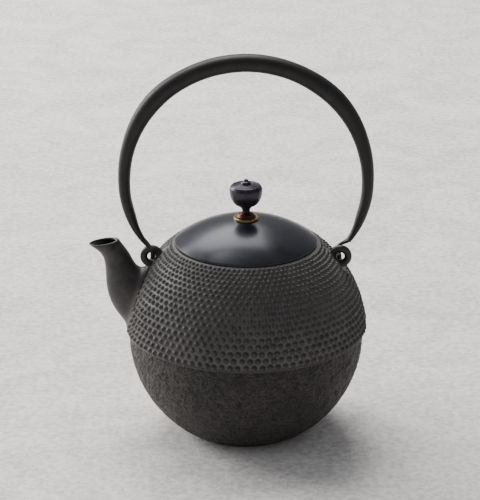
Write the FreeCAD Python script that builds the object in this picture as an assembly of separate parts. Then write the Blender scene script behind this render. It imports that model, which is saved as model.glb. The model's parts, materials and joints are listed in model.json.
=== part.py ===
import FreeCAD, Part
import math
import os

# A ball-shaped cast-iron teapot with a domed lid, a spout, an infuser basket
# and a bail that swings in two cast eyes.
# Millimetres.  +Z is up, the spout points to -X, and the origin is the centre
# of the flat base, so the pot stands on z = 0.

Vector = FreeCAD.Vector

# ---------------------------------------------------------------- pot casting
lower_ball_radius = 73.8         # plain lower half
upper_fullness = 1.2             # the hobnailed upper half is this much fuller
base_flat_radius = 35.7          # the flat the pot stands on
ridge_height = 3.0               # where the halves meet, above the ball's centre
wall = 3.0                       # casting thickness of the lower half
floor_thickness = 4.0
gate_mark_radius = 13.0          # ring left on the base by the pouring gate
gate_mark_width = 1.2
gate_mark_depth = 0.5

# ---------------------------------------------------------------------- mouth
lid_radius = 44.7                # rim of the lid
mouth_shoulder = 0.8             # edge of the mouth outside the lid
lid_seat_width = 3.5             # land that the lid rests on
flange_ledge_width = 4.4         # land that the basket's flange hangs on
flange_ledge_depth = 1.3
mouth_rim_depth = 5.0            # thick ring round the mouth
mouth_rim_taper = 2.5

# -------------------------------------------------------------------- infuser
basket_clearance = 0.4           # basket in the mouth, all round
flange_thickness = 0.8
collar_thickness = 0.7
collar_height = 9.0
mesh_thickness = 0.5
mesh_lap = 3.0                   # mesh welded inside the collar
basket_depth = 59.0              # flange to the underside of the mesh
hoop_height = 4.0
hoop_thickness = 0.6
basket_floor_thickness = 0.6

# ------------------------------------------------------------------------ lid
lid_proud = 0.8                  # the dome continues the ball, a little fuller
lid_thickness = 1.6
lid_edge_band = 2.4              # flat under the rim
skirt_clearance = 0.9            # skirt inside the basket's collar
skirt_thickness = 1.2
skirt_length = 6.0               # below the lid's rim
rest_gap = 0.1                   # between pieces that rest on each other

# ----------------------------------------------------------- knob and fixings
rivet_radius = 1.45
rivet_clearance = 0.06           # the rivet turns freely in the lid
rivet_nub_height = 1.3           # its head above the knob's button
rivet_tail_radius = 2.9
rivet_tail_height = 1.1
rivet_tail_taper = 0.6           # its end, as a share of its radius
washer_radius = 5.5
washer_thickness = 1.0
seat_ring_radius = 7.95
seat_ring_rise = 1.2             # top of the ring above the lid's crown
seat_cup_radius = 6.3
seat_cup_height = 3.1
seat_cup_bulge = (0.7, 0.5)      # outward and upward, from a plain cone
knob_neck_radius = 2.4
knob_neck_height = 0.8
knob_collar_radius = 3.3
knob_flare_height = 2.9          # neck to the underside of the bowl
knob_flare_bulge = 0.25
knob_bowl_radius = 10.3
knob_bowl_height = 13.7
knob_bowl_fullness = (0.78, 0.42)  # a point of its side: share outward, share up
knob_rim_radius = 9.5
knob_rim_round = 2.4             # widest point below the rim
knob_rim_swell = 0.25
knob_top_rise = 0.8
knob_button_radius = 3.3
knob_button_height = 2.0
knob_button_side = (0.86, 0.62)  # a point of its side: share outward, share up

# ---------------------------------------------------------------------- spout
spout_wall = 1.5
spout_lip_wall = 1.0
spout_bore_overrun = 2.0         # the bore's cutter runs on past the lip
# Each station is a slanted oval whose long axis lies in the XZ plane.
# Columns: outer point, inner point, half width across the plane.  A point is
# the distance beyond the ball's side and the height above the ball's centre.
spout_stations = [
    ((-11.0, 0.0), (-25.0, 41.0), 12.5),
    ((1.3, 7.0), (-8.5, 43.0), 11.6),
    ((8.8, 17.4), (-5.4, 45.6), 10.3),
    ((12.4, 28.0), (-3.8, 48.4), 9.2),
    ((13.3, 40.0), (-2.0, 52.0), 8.0),
    ((14.8, 50.4), (0.6, 55.9), 7.2),
    ((18.6, 55.2), (2.6, 58.6), 6.9),
    ((23.4, 58.6), (4.0, 60.5), 6.8),
]

# ----------------------------------------------------------------------- lugs
lug_angle = 49.5                 # from the vertical, seen from the ball's centre
lug_bar_radius = 2.3
lug_hole_floor = 0.1             # lowest point of the hole above the ball
eye_clearance = 1.3              # the hole is this much wider than the hook, each side

# ----------------------------------------------------------------------- bail
hook_wire_radius = 1.4
hook_floor_gap = 0.5             # hook above the ball, inside the eye
hook_tip_length = 1.5
hook_leave_angle = 100           # where the hook joins its round, from the top
hook_end_angle = 230             # where the round ends behind the eye
bail_bulge = 13.45               # inside of the bail beyond the pivots, each side
bail_rise = 43.4                 # centre of the bail's round above the pivots
bail_crown_thickness = 11.1
bail_crown_width = 12.0
bail_end_thickness = 3.2
bail_end_width = 5.6
bail_wall = 1.6                  # the bail is forged hollow and closed
bail_shoulder = (9.5, 11.7)      # centreline of the drawn-out end, from the pivot
bail_shoulder_share = 0.86
bail_end = (6.0, 5.9)            # where it turns into the hook, from the pivot
# Taper from crown to end by angle from the crown: how much of the way the
# thickness and the width have gone.
bail_taper = [
    (0, 0.00, 0.00),
    (25, 0.00, 0.00),
    (50, 0.00, 0.00),
    (70, 0.27, 0.04),
    (88, 0.44, 0.10),
    (100, 0.53, 0.20),
    (107, 0.62, 0.42),
]

# ------------------------------------------------------------- derived values
upper_ball_radius = lower_ball_radius + upper_fullness
inner_radius = lower_ball_radius - wall
lid_ball_radius = upper_ball_radius + lid_proud
lid_inner_ball_radius = lid_ball_radius - lid_thickness
ball_centre = math.sqrt(lower_ball_radius ** 2 - base_flat_radius ** 2)
lug_arch_radius = lug_bar_radius + hook_wire_radius + eye_clearance
lug_rise = lug_arch_radius - lug_bar_radius + lug_hole_floor

flange_ledge_radius = lid_radius - lid_seat_width
mouth_bore_radius = flange_ledge_radius - flange_ledge_width
lid_seat_z = ball_centre + math.sqrt(upper_ball_radius ** 2 - (lid_radius + mouth_shoulder) ** 2)
lid_bottom_z = lid_seat_z + rest_gap
ledge_z = lid_seat_z - flange_ledge_depth

flange_bottom_z = ledge_z + rest_gap
flange_top_z = flange_bottom_z + flange_thickness
collar_outer_radius = mouth_bore_radius - basket_clearance
collar_inner_radius = collar_outer_radius - collar_thickness
collar_bottom_z = flange_top_z - collar_height
basket_bottom_z = flange_top_z - basket_depth
mesh_inner_radius = collar_inner_radius - mesh_thickness
skirt_outer_radius = collar_inner_radius - skirt_clearance

rivet_hole_radius = rivet_radius + rivet_clearance
lid_crown_z = ball_centre + lid_ball_radius
washer_top_z = ball_centre + math.sqrt(lid_inner_ball_radius ** 2 - washer_radius ** 2) - rest_gap
washer_bottom_z = washer_top_z - washer_thickness
seat_ring_top_z = lid_crown_z + seat_ring_rise
seat_cup_top_z = seat_ring_top_z + seat_cup_height
knob_neck_top_z = seat_cup_top_z + knob_neck_height
knob_collar_z = knob_neck_top_z + knob_flare_height
knob_rim_z = knob_collar_z + knob_bowl_height
button_bottom_z = knob_rim_z + knob_top_rise
button_top_z = button_bottom_z + knob_button_height


# ---------------------------------------------------------------- small helpers
def ball_point(radius, height_or_distance, by="z"):
    """(distance from the axis, z) of a point on a ball about the pot's centre."""
    if by == "z":
        return math.sqrt(radius ** 2 - (height_or_distance - ball_centre) ** 2), height_or_distance
    return height_or_distance, ball_centre + math.sqrt(radius ** 2 - height_or_distance ** 2)


def line(start, end):
    return Part.LineSegment(Vector(start[0], 0, start[1]), Vector(end[0], 0, end[1])).toShape()


def arc(start, middle, end):
    points = [Vector(distance, 0, z) for distance, z in (start, middle, end)]
    return Part.Arc(*points).toShape()


def ball_arc(radius, start, end):
    """Stretch of a ball's outline between two points on it."""
    angles = [math.atan2(z - ball_centre, distance) for distance, z in (start, end)]
    middle = sum(angles) / 2
    return arc(start, (radius * math.cos(middle), ball_centre + radius * math.sin(middle)), end)


def turned(edges):
    """Solid of revolution about Z from a closed outline."""
    face = Part.Face(Part.Wire(edges))
    return face.revolve(Vector(0, 0, 0), Vector(0, 0, 1), 360)


def turned_polygon(points):
    """Solid of revolution from straight-sided (distance, z) corners."""
    following = points[1:] + points[:1]
    return turned([line(a, b) for a, b in zip(points, following)])


def ring(inner, outer, bottom, top):
    return turned_polygon([(inner, bottom), (outer, bottom), (outer, top), (inner, top)])


def disc(radius, bottom, top):
    return Part.makeCylinder(radius, top - bottom, Vector(0, 0, bottom))


def oval_curve(section):
    """Closed smooth curve through twelve points of an oval section.

    A section is its centre, two axes across it and the half size along each.
    """
    centre, first_axis, second_axis, first_half, second_half = section
    points = []
    for step in range(12):
        angle = math.radians(30 * step)
        first = first_axis * (first_half * math.cos(angle))
        second = second_axis * (second_half * math.sin(angle))
        points.append(centre + first + second)
    curve = Part.BSplineCurve()
    curve.interpolate(Points=points, PeriodicFlag=True, Parameters=[float(step) for step in range(13)])
    return curve


def skinned(sections):
    """Solid whose side passes smoothly through the oval sections, with flat ends."""
    ovals = [oval_curve(section) for section in sections]
    stations = [0.0]
    for one, following in zip(sections, sections[1:]):
        stations.append(stations[-1] + one[0].distanceToPoint(following[0]))
    lengthwise = []
    for index in range(ovals[0].NbPoles):
        curve = Part.BSplineCurve()
        curve.interpolate(Points=[oval.getPole(index + 1) for oval in ovals], Parameters=stations)
        lengthwise.append(curve)
    poles = [[curve.getPole(row + 1) for curve in lengthwise] for row in range(lengthwise[0].NbPoles)]
    along, around = lengthwise[0], ovals[0]
    surface = Part.BSplineSurface()
    surface.buildFromPolesMultsKnots(
        poles, along.getMultiplicities(), around.getMultiplicities(), along.getKnots(),
        around.getKnots(), False, True, along.Degree, around.Degree)
    first, last = surface.bounds()[:2]
    ends = [Part.Face(Part.Wire(surface.uIso(place).toShape())) for place in (first, last)]
    shell = Part.Shell([surface.toShape()] + ends)
    shell.sewShape()
    solid = Part.Solid(shell)
    if solid.Volume < 0:
        solid.reverse()
    return solid


def one_solid(shape):
    """The single solid that a boolean left inside its compound."""
    return max(shape.Solids, key=lambda solid: solid.Volume)


# ------------------------------------------------------------------ pot casting
def make_pot_pieces(bore):
    """The ball-shaped shell with its flat base, ridge and stepped mouth.

    It comes in three pieces that meet at the ridge and under the thick mouth.
    """
    ridge_z = ball_centre + ridge_height
    base_edge = (base_flat_radius, 0)
    lower_top = ball_point(lower_ball_radius, ridge_z)
    upper_bottom = ball_point(upper_ball_radius, ridge_z)
    mouth_edge = ball_point(upper_ball_radius, lid_seat_z)
    seat_inner = (flange_ledge_radius, lid_seat_z)
    ledge_outer = (flange_ledge_radius, ledge_z)
    ledge_inner = (mouth_bore_radius, ledge_z)
    rim_bottom = (mouth_bore_radius, lid_seat_z - mouth_rim_depth)
    rim_foot = ball_point(inner_radius, lid_seat_z - mouth_rim_depth - mouth_rim_taper)
    floor_edge = ball_point(inner_radius, floor_thickness)
    body = turned([
        line((0, 0), base_edge),
        ball_arc(lower_ball_radius, base_edge, lower_top),
        line(lower_top, upper_bottom),
        ball_arc(upper_ball_radius, upper_bottom, mouth_edge),
        line(mouth_edge, seat_inner),
        line(seat_inner, ledge_outer),
        line(ledge_outer, ledge_inner),
        line(ledge_inner, rim_bottom),
        line(rim_bottom, rim_foot),
        ball_arc(inner_radius, rim_foot, floor_edge),
        line(floor_edge, (0, floor_thickness)),
        line((0, floor_thickness), (0, 0)),
    ])
    gate_mark = ring(gate_mark_radius - gate_mark_width, gate_mark_radius, -1, gate_mark_depth)
    body = body.cut(gate_mark).cut(bore)
    reach = 2 * upper_ball_radius
    cuts = (0, ridge_z, rim_foot[1], lid_seat_z)
    slabs = [disc(reach, bottom, top) for bottom, top in zip(cuts, cuts[1:])]
    return [one_solid(body.common(slab)) for slab in slabs]


def upper_ball():
    return Part.makeSphere(upper_ball_radius, Vector(0, 0, ball_centre))


# ------------------------------------------------------------------------ spout
def spout_oval(station, inset, lift=0.0):
    """Section at one station, drawn in by the wall and moved along the spout by lift."""
    outer, inner = (
        Vector(-upper_ball_radius - beyond, 0, ball_centre + height) for beyond, height in station[:2]
    )
    along = (inner - outer).normalize()
    outward = along.cross(Vector(0, 1, 0))
    centre = (outer + inner) * 0.5 + outward * lift
    long_half = outer.distanceToPoint(inner) / 2 - inset
    return centre, along, Vector(0, 1, 0), long_half, station[2] - inset


def make_spout_bore():
    """The passage from the pot's inside to just past the lip."""
    last = len(spout_stations) - 1
    sections = []
    for index, station in enumerate(spout_stations):
        inset = spout_wall + (spout_lip_wall - spout_wall) * index / last
        sections.append(spout_oval(station, inset))
    sections.append(spout_oval(spout_stations[-1], spout_lip_wall, lift=spout_bore_overrun))
    return skinned(sections)


def make_spout(bore):
    outside = skinned([spout_oval(station, 0) for station in spout_stations])
    return one_solid(outside.cut(upper_ball()).cut(bore))


# ------------------------------------------------------------------------- lugs
def lug_centre():
    """Centre of the +X eye's ring, a little above the ball's surface."""
    angle = math.radians(lug_angle)
    distance = upper_ball_radius + lug_rise
    return Vector(distance * math.sin(angle), 0, ball_centre + distance * math.cos(angle))


def make_lug():
    """A thick ring that stands on the ball with its foot sunk in."""
    arch = Part.makeTorus(lug_arch_radius, lug_bar_radius, lug_centre(), Vector(0, 1, 0))
    return one_solid(arch.cut(upper_ball()))


def turned_half_round(shape):
    """The same piece on the other side of the pot."""
    copy = shape.copy()
    copy.rotate(Vector(0, 0, 0), Vector(0, 0, 1), 180)
    return copy


# ------------------------------------------------------------------------- bail
def find_pivot():
    """Centre of the +X hook's ring, on the swing axis, and the ring's radius.

    The ring lies across the swing axis.  Its lowest point passes through the
    middle of the eye, just clear of the ball, and its centre is where the
    eye's bar crosses straight above that point.
    """
    angle = math.radians(lug_angle)
    distance = upper_ball_radius + hook_wire_radius + hook_floor_gap
    low_x = distance * math.sin(angle)
    low_z = ball_centre + distance * math.cos(angle)
    eye = lug_centre()
    bar_z = eye.z + math.sqrt(lug_arch_radius ** 2 - (low_x - eye.x) ** 2)
    return Vector(low_x, 0, bar_z), bar_z - low_z


pivot, hook_radius = find_pivot()


def bail_section(thickness_share, width_share):
    thickness = bail_crown_thickness + (bail_end_thickness - bail_crown_thickness) * thickness_share
    width = bail_crown_width + (bail_end_width - bail_crown_width) * width_share
    return thickness, width


def bail_stations():
    """(centreline point, thickness, width) from the -X end over the crown to +X."""
    half = []
    for degrees, thickness_share, width_share in bail_taper:
        thickness, width = bail_section(thickness_share, width_share)
        radius = pivot.x + bail_bulge + thickness / 2
        angle = math.radians(degrees)
        point = Vector(radius * math.sin(angle), 0, pivot.z + bail_rise + radius * math.cos(angle))
        half.append((point, thickness, width))
    for offset, share in ((bail_shoulder, bail_shoulder_share), (bail_end, 1.0)):
        point = pivot + Vector(offset[0], 0, offset[1])
        half.append((point, *bail_section(share, share)))
    mirrored = [(Vector(-point.x, 0, point.z), t, w) for point, t, w in half[:0:-1]]
    return mirrored + half


def tangents_along(points):
    """Unit tangents of the smooth curve through the points."""
    curve = Part.BSplineCurve()
    curve.interpolate(points)
    return [Vector(curve.tangent(curve.parameter(point))[0]) for point in points]


def crosswise_oval(centre, tangent, thickness, width, thin=None):
    """Section across a tangent: thickness along the thin axis, width the other way.

    The thin axis lies in the bail's plane, facing the pot, unless it is given.
    """
    thin = thin or Vector(0, 1, 0).cross(tangent).normalize()
    return centre, thin, tangent.cross(thin), thickness / 2, width / 2


def make_bail_handle():
    """The hollow bail and its tangent at the +X end."""
    stations = bail_stations()
    tangents = tangents_along([station[0] for station in stations])
    outside = []
    inside = []
    for (point, thickness, width), tangent in zip(stations, tangents):
        outside.append(crosswise_oval(point, tangent, thickness, width))
        if thickness > 4 * bail_wall:
            inside.append(crosswise_oval(point, tangent, thickness - 2 * bail_wall, width - 2 * bail_wall))
    return one_solid(skinned(outside).cut(skinned(inside))), tangents[-1]


def make_hook(end_tangent):
    """The +X hook: it comes down behind the eye, passes through it and ends in front."""
    wire = 2 * hook_wire_radius
    inward = Vector(-1, 0, 0)
    ring_sections = []
    for degrees in range(hook_leave_angle, hook_end_angle + 1, 10):
        angle = math.radians(degrees)
        point = pivot + Vector(0, math.sin(angle), math.cos(angle)) * hook_radius
        tangent = Vector(0, math.cos(angle), -math.sin(angle))
        ring_sections.append(crosswise_oval(point, tangent, wire, wire, inward))

    end = pivot + Vector(bail_end[0], 0, bail_end[1])
    leave = ring_sections[0][0]
    angle = math.radians(hook_leave_angle)
    leave_tangent = Vector(0, math.cos(angle), -math.sin(angle))
    middle = (end + leave) * 0.5 + (end_tangent - leave_tangent) * (end.distanceToPoint(leave) / 8)
    middle_tangent = (end_tangent + leave_tangent).normalize()
    shank_sections = [
        crosswise_oval(end, end_tangent, bail_end_thickness, bail_end_width),
        crosswise_oval(middle, middle_tangent, (bail_end_thickness + wire) / 2, (bail_end_width + wire) / 2),
    ]

    tip_sections = []
    for share, size in ((0.5, 1.0), (0.85, 0.95), (1.0, 0.55)):
        point = ring_sections[-1][0] + tangent * (hook_tip_length * share)
        tip_sections.append(crosswise_oval(point, tangent, wire * size, wire * size, inward))
    return skinned(shank_sections + ring_sections + tip_sections)


# ---------------------------------------------------------------------- infuser
def make_infuser_rim():
    """Pressed flange with the collar that drops into the mouth."""
    flange_outer_radius = flange_ledge_radius - basket_clearance
    return turned_polygon([
        (collar_inner_radius, collar_bottom_z),
        (collar_outer_radius, collar_bottom_z),
        (collar_outer_radius, flange_bottom_z),
        (flange_outer_radius, flange_bottom_z),
        (flange_outer_radius, flange_top_z),
        (collar_inner_radius, flange_top_z),
    ])


def make_infuser_wall():
    return ring(mesh_inner_radius, collar_inner_radius, basket_bottom_z, collar_bottom_z + mesh_lap)


def make_infuser_floor():
    return disc(mesh_inner_radius, basket_bottom_z, basket_bottom_z + basket_floor_thickness)


def make_infuser_hoop():
    outer = collar_inner_radius + hoop_thickness
    return ring(collar_inner_radius, outer, basket_bottom_z, basket_bottom_z + hoop_height)


# -------------------------------------------------------------------------- lid
def make_lid_dome():
    """Cap of even thickness with a flat band under its rim."""
    band_radius = lid_radius - lid_edge_band
    top = ball_point(lid_ball_radius, rivet_hole_radius, by="distance")
    rim = ball_point(lid_ball_radius, lid_radius, by="distance")
    band_top = ball_point(lid_inner_ball_radius, band_radius, by="distance")
    under = ball_point(lid_inner_ball_radius, rivet_hole_radius, by="distance")
    return turned([
        ball_arc(lid_ball_radius, top, rim),
        line(rim, (lid_radius, lid_bottom_z)),
        line((lid_radius, lid_bottom_z), (band_radius, lid_bottom_z)),
        line((band_radius, lid_bottom_z), band_top),
        ball_arc(lid_inner_ball_radius, band_top, under),
        line(under, top),
    ])


def make_lid_skirt():
    """Locating ring whose top follows the underside of the dome."""
    skirt_inner_radius = skirt_outer_radius - skirt_thickness
    top_inner = ball_point(lid_inner_ball_radius, skirt_inner_radius, by="distance")
    top_outer = ball_point(lid_inner_ball_radius, skirt_outer_radius, by="distance")
    bottom = lid_bottom_z - skirt_length
    return turned([
        ball_arc(lid_inner_ball_radius, top_inner, top_outer),
        line(top_outer, (skirt_outer_radius, bottom)),
        line((skirt_outer_radius, bottom), (skirt_inner_radius, bottom)),
        line((skirt_inner_radius, bottom), top_inner),
    ])


# --------------------------------------------------------------- knob and rivet
def make_rivet_washer():
    return ring(rivet_radius, washer_radius, washer_bottom_z, washer_top_z)


def make_knob_rivet():
    """Rivet from the nub on top of the knob to the tail closed under the washer."""
    shank = disc(rivet_radius, washer_bottom_z, button_top_z + rivet_nub_height)
    tail_bottom = washer_bottom_z - rivet_tail_height
    tail_end_radius = rivet_tail_radius * rivet_tail_taper
    tail = Part.makeCone(tail_end_radius, rivet_tail_radius, rivet_tail_height, Vector(0, 0, tail_bottom))
    return one_solid(shank.fuse(tail))


def make_knob_seat_ring():
    """Washer under the cup, dished to the lid's crown."""
    gap_ball = lid_ball_radius + rest_gap
    bottom_inner = ball_point(gap_ball, rivet_radius, by="distance")
    bottom_outer = ball_point(gap_ball, seat_ring_radius, by="distance")
    return turned([
        ball_arc(gap_ball, bottom_inner, bottom_outer),
        line(bottom_outer, (seat_ring_radius, seat_ring_top_z)),
        line((seat_ring_radius, seat_ring_top_z), (rivet_radius, seat_ring_top_z)),
        line((rivet_radius, seat_ring_top_z), bottom_inner),
    ])


def make_knob_seat_cup():
    """Small dome between the ring and the knob's neck."""
    foot = (seat_cup_radius, seat_ring_top_z)
    neck = (knob_neck_radius, seat_cup_top_z)
    outward, upward = seat_cup_bulge
    middle = ((foot[0] + neck[0]) / 2 + outward, (foot[1] + neck[1]) / 2 + upward)
    return turned([
        line((rivet_radius, foot[1]), foot),
        arc(foot, middle, neck),
        line(neck, (rivet_radius, neck[1])),
        line((rivet_radius, neck[1]), (rivet_radius, foot[1])),
    ])


def make_knob():
    """Turned bowl on a flared neck, with a button on its flat top."""
    neck_bottom = (knob_neck_radius, seat_cup_top_z)
    neck_top = (knob_neck_radius, knob_neck_top_z)
    collar = (knob_collar_radius, knob_collar_z)
    rim = (knob_rim_radius, knob_rim_z)
    belly = (knob_bowl_radius, knob_rim_z - knob_rim_round)
    share_out, share_up = knob_bowl_fullness
    bowl_low = (collar[0] + (belly[0] - collar[0]) * share_out, collar[1] + (belly[1] - collar[1]) * share_up)
    rim_round = ((belly[0] + rim[0]) / 2 + knob_rim_swell, rim[1] - knob_rim_round / 2)
    button_foot = (knob_button_radius, button_bottom_z)
    share_out, share_up = knob_button_side
    button_side = (knob_button_radius * share_out, button_bottom_z + knob_button_height * share_up)
    button_top = (rivet_radius, button_top_z)
    return turned([
        line((rivet_radius, seat_cup_top_z), neck_bottom),
        line(neck_bottom, neck_top),
        arc(neck_top, (knob_neck_radius + knob_flare_bulge, (neck_top[1] + collar[1]) / 2), collar),
        arc(collar, bowl_low, belly),
        arc(belly, rim_round, rim),
        line(rim, button_foot),
        arc(button_foot, button_side, button_top),
        line(button_top, (rivet_radius, seat_cup_top_z)),
    ])


# ------------------------------------------------------------------------ export
def build():
    bore = make_spout_bore()
    bail_handle, end_tangent = make_bail_handle()
    lug = make_lug()
    hook = make_hook(end_tangent)
    lower_half, upper_half, mouth_ring = make_pot_pieces(bore)
    return {
        "pot_lower_half": lower_half,
        "pot_upper_half": upper_half,
        "pot_mouth_ring": mouth_ring,
        "spout": make_spout(bore),
        "lug_spout_side": turned_half_round(lug),
        "lug_far_side": lug,
        "bail_handle": bail_handle,
        "bail_hook_spout_side": turned_half_round(hook),
        "bail_hook_far_side": hook,
        "infuser_rim": make_infuser_rim(),
        "infuser_wall": make_infuser_wall(),
        "infuser_floor": make_infuser_floor(),
        "infuser_hoop": make_infuser_hoop(),
        "lid_dome": make_lid_dome(),
        "lid_skirt": make_lid_skirt(),
        "knob": make_knob(),
        "knob_rivet": make_knob_rivet(),
        "rivet_washer": make_rivet_washer(),
        "knob_seat_cup": make_knob_seat_cup(),
        "knob_seat_ring": make_knob_seat_ring(),
    }


os.makedirs("parts", exist_ok=True)
for name, shape in build().items():
    shape.exportStep(f"parts/{name}.step")
    print(name, shape.ShapeType, shape.isValid(), round(shape.Volume / 1000, 2), "cm3")
print("pivot", round(pivot.x, 3), round(pivot.z, 3), "ring radius", round(hook_radius, 3))
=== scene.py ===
import itertools
import json
import math

import bpy
import numpy as np
from mathutils import Matrix, Vector


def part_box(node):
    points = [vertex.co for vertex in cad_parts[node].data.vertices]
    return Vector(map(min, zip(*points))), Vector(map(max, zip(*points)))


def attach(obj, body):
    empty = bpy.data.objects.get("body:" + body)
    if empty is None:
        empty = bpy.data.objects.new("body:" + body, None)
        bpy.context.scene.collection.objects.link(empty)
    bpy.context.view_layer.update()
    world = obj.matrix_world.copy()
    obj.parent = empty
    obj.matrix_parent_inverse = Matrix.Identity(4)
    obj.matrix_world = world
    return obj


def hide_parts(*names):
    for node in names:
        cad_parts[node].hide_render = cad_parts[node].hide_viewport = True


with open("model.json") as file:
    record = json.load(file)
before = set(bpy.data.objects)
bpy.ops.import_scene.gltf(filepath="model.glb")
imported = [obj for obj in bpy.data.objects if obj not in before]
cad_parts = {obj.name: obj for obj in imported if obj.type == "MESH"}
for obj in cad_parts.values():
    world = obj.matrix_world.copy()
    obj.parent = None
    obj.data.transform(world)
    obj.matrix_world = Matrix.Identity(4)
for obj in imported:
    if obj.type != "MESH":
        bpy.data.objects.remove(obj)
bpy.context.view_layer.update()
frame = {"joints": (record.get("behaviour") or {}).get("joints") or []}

bl_info = {
    "name": "Hobnail teapot",
    "version": (1, 0, 0),
    "blender": (4, 5, 0),
    "location": "3D View > Sidebar > Teapot",
    "description": "Builds the visible pieces of a cast-iron hobnail teapot round its CAD frame",
    "category": "Object",
}

# ---------------------------------------------------------------- from the frame
ridge_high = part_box("pot_upper_half")[1]
mouth_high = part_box("pot_mouth_ring")[1]
lid_low, lid_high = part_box("lid_dome")
skirt_low, skirt_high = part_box("lid_skirt")
washer_low, washer_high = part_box("rivet_washer")
rivet_low, rivet_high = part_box("knob_rivet")
seat_ring_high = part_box("knob_seat_ring")[1]
seat_cup_low, seat_cup_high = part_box("knob_seat_cup")
knob_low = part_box("knob")[0]
rim_low, rim_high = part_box("infuser_rim")
mesh_low, mesh_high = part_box("infuser_wall")
hoop_low, hoop_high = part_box("infuser_hoop")
sieve_low, sieve_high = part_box("infuser_floor")
swing = next(joint for joint in frame["joints"] if joint["name"] == "bail_swing")
MM = 0.001


# -------------------------------------------------------------------- user sizes
def size(name, description, millimetres):
    """A length that a user can change, given in millimetres and kept in metres."""
    return bpy.props.FloatProperty(
        name=name, description=description, default=millimetres * MM, unit="LENGTH", subtype="DISTANCE",
        precision=5)


def angle(name, description, degrees):
    return bpy.props.FloatProperty(
        name=name, description=description, default=math.radians(degrees), unit="ROTATION", subtype="ANGLE")


def share(name, description, default):
    return bpy.props.FloatProperty(
        name=name, description=description, default=default, min=0.0, max=1.0, subtype="FACTOR")


def number(name, description, default):
    return bpy.props.IntProperty(name=name, description=description, default=default, min=3)


def colour(name, description, default):
    return bpy.props.FloatVectorProperty(
        name=name, description=description, default=default, size=3, min=0.0, max=1.0, subtype="COLOR")


class PotSizes(bpy.types.PropertyGroup):
    """The ball of the pot."""
    ridge_height: size("Ridge height", "Height of the ridge above the middle of the ball", 3.0)
    mouth_radius: size("Mouth radius", "Outer edge of the mouth", 45.5)
    lower_radius: size("Lower ball radius", "Radius of the plain lower half", 73.8)
    base_radius: size("Base radius", "Radius of the flat that the pot stands on", 35.7)
    wall: size("Wall", "Thickness of the casting", 3.0)
    floor: size("Floor", "Thickness of the base", 4.0)
    rough_depth: size("Cast grain depth", "How deep the rough grain of the lower half is", 0.50)
    rough_size: size("Cast grain size", "How wide one grain of the rough lower half is", 2.3)
    gate_radius: size("Gate mark radius", "Ring left under the base by the pouring gate", 13.0)


class HobnailSizes(bpy.types.PropertyGroup):
    """The rows of small domes over the upper half."""
    around: number("Nails in a row", "How many nails stand in one row round the pot", 96)
    rows: number("Rows", "How many rows stand between the ridge and the mouth", 18)
    first_row: angle("First row", "Height of the lowest row as an angle above the middle", 4.3)
    last_row: angle("Last row", "Height of the highest row as an angle above the middle", 51.2)
    spread: share("Nail width", "Radius of a nail's foot as a share of the distance to the next one", 0.47)
    rise: share("Nail height", "Height of a nail as a share of the distance to the next one", 0.37)


class SpoutSizes(bpy.types.PropertyGroup):
    """The cast spout and the two eyes for the bail."""
    wall: size("Spout wall", "Thickness of the spout near the pot", 1.5)
    lip: size("Lip", "Thickness of the spout at its lip", 1.1)
    lip_back: size("Lip, pot side", "Extra thickness of the lip on the side of the pot", 1.6)
    foot: size("Spout foot", "Reach of the round foot where the spout meets the pot", 4.2)
    eye_angle: angle("Eye angle", "Where the eyes stand, measured from the top of the ball", 49.5)
    eye_radius: size("Eye radius", "Middle line of the eye's ring", 5.0)
    eye_bar: size("Eye bar", "Half thickness of the eye's bar", 2.3)
    eye_rise: size("Eye rise", "Height of the ring's middle above the ball's surface", 2.8)
    eye_foot: size("Eye foot", "Reach of the round foot of the eye", 1.1)


class BailSizes(bpy.types.PropertyGroup):
    """The swinging handle."""
    bulge: size("Bulge", "Inside of the bail beyond the hooks, on each side", 13.45)
    rise: size("Rise", "Height of the middle of the bail's round above the hooks", 43.4)
    crown_thickness: size("Crown thickness", "Thickness of the bail at its top", 11.1)
    crown_width: size("Crown width", "Width of the bail at its top", 12.0)
    end_thickness: size("End thickness", "Thickness where the bail turns into its hook", 3.2)
    end_width: size("End width", "Width where the bail turns into its hook", 5.6)
    wire: size("Hook wire", "Half thickness of the hook", 1.4)
    floor_gap: size("Hook gap", "Distance between the hook and the ball inside the eye", 0.5)
    tip: size("Hook tip", "Length of the hook's straight end", 1.5)
    hammer: size("Hammer marks", "Depth of the soft unevenness left by forging", 0.10)


class LidSizes(bpy.types.PropertyGroup):
    """The domed lid."""
    thickness: size("Thickness", "Thickness of the dome", 1.6)
    edge_band: size("Edge band", "Flat band under the rim", 2.4)
    proud: size("Proud", "How much fuller the dome is than the ball", 0.8)
    hole: size("Rivet hole", "Radius of the hole for the knob's rivet", 1.51)


class KnobSizes(bpy.types.PropertyGroup):
    """The turned knob, its seat and its rivet."""
    neck: size("Neck", "Radius of the knob's neck", 2.4)
    neck_height: size("Neck height", "Straight part of the neck", 0.8)
    collar: size("Collar", "Radius where the bowl begins", 3.3)
    flare_height: size("Flare height", "Height of the flare under the bowl", 2.9)
    bowl: size("Bowl", "Widest radius of the knob", 10.3)
    bowl_height: size("Bowl height", "Height of the bowl", 13.7)
    rim: size("Rim", "Radius of the knob's flat top", 9.1)
    button: size("Button", "Radius of the button on top", 3.3)
    button_height: size("Button height", "Height of the button", 2.0)
    rivet: size("Rivet", "Radius of the rivet", 1.45)


class BasketSizes(bpy.types.PropertyGroup):
    """The hanging infuser basket."""
    hole_pitch: size("Hole pitch", "Distance from one hole to the next", 2.2)
    hole_share: share("Hole size", "Radius of a hole as a share of the pitch", 0.3)
    sheet: size("Sheet", "Thickness of the perforated sheet", 0.5)
    border: size("Floor border", "Plain border round the perforated floor", 3.0)


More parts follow.
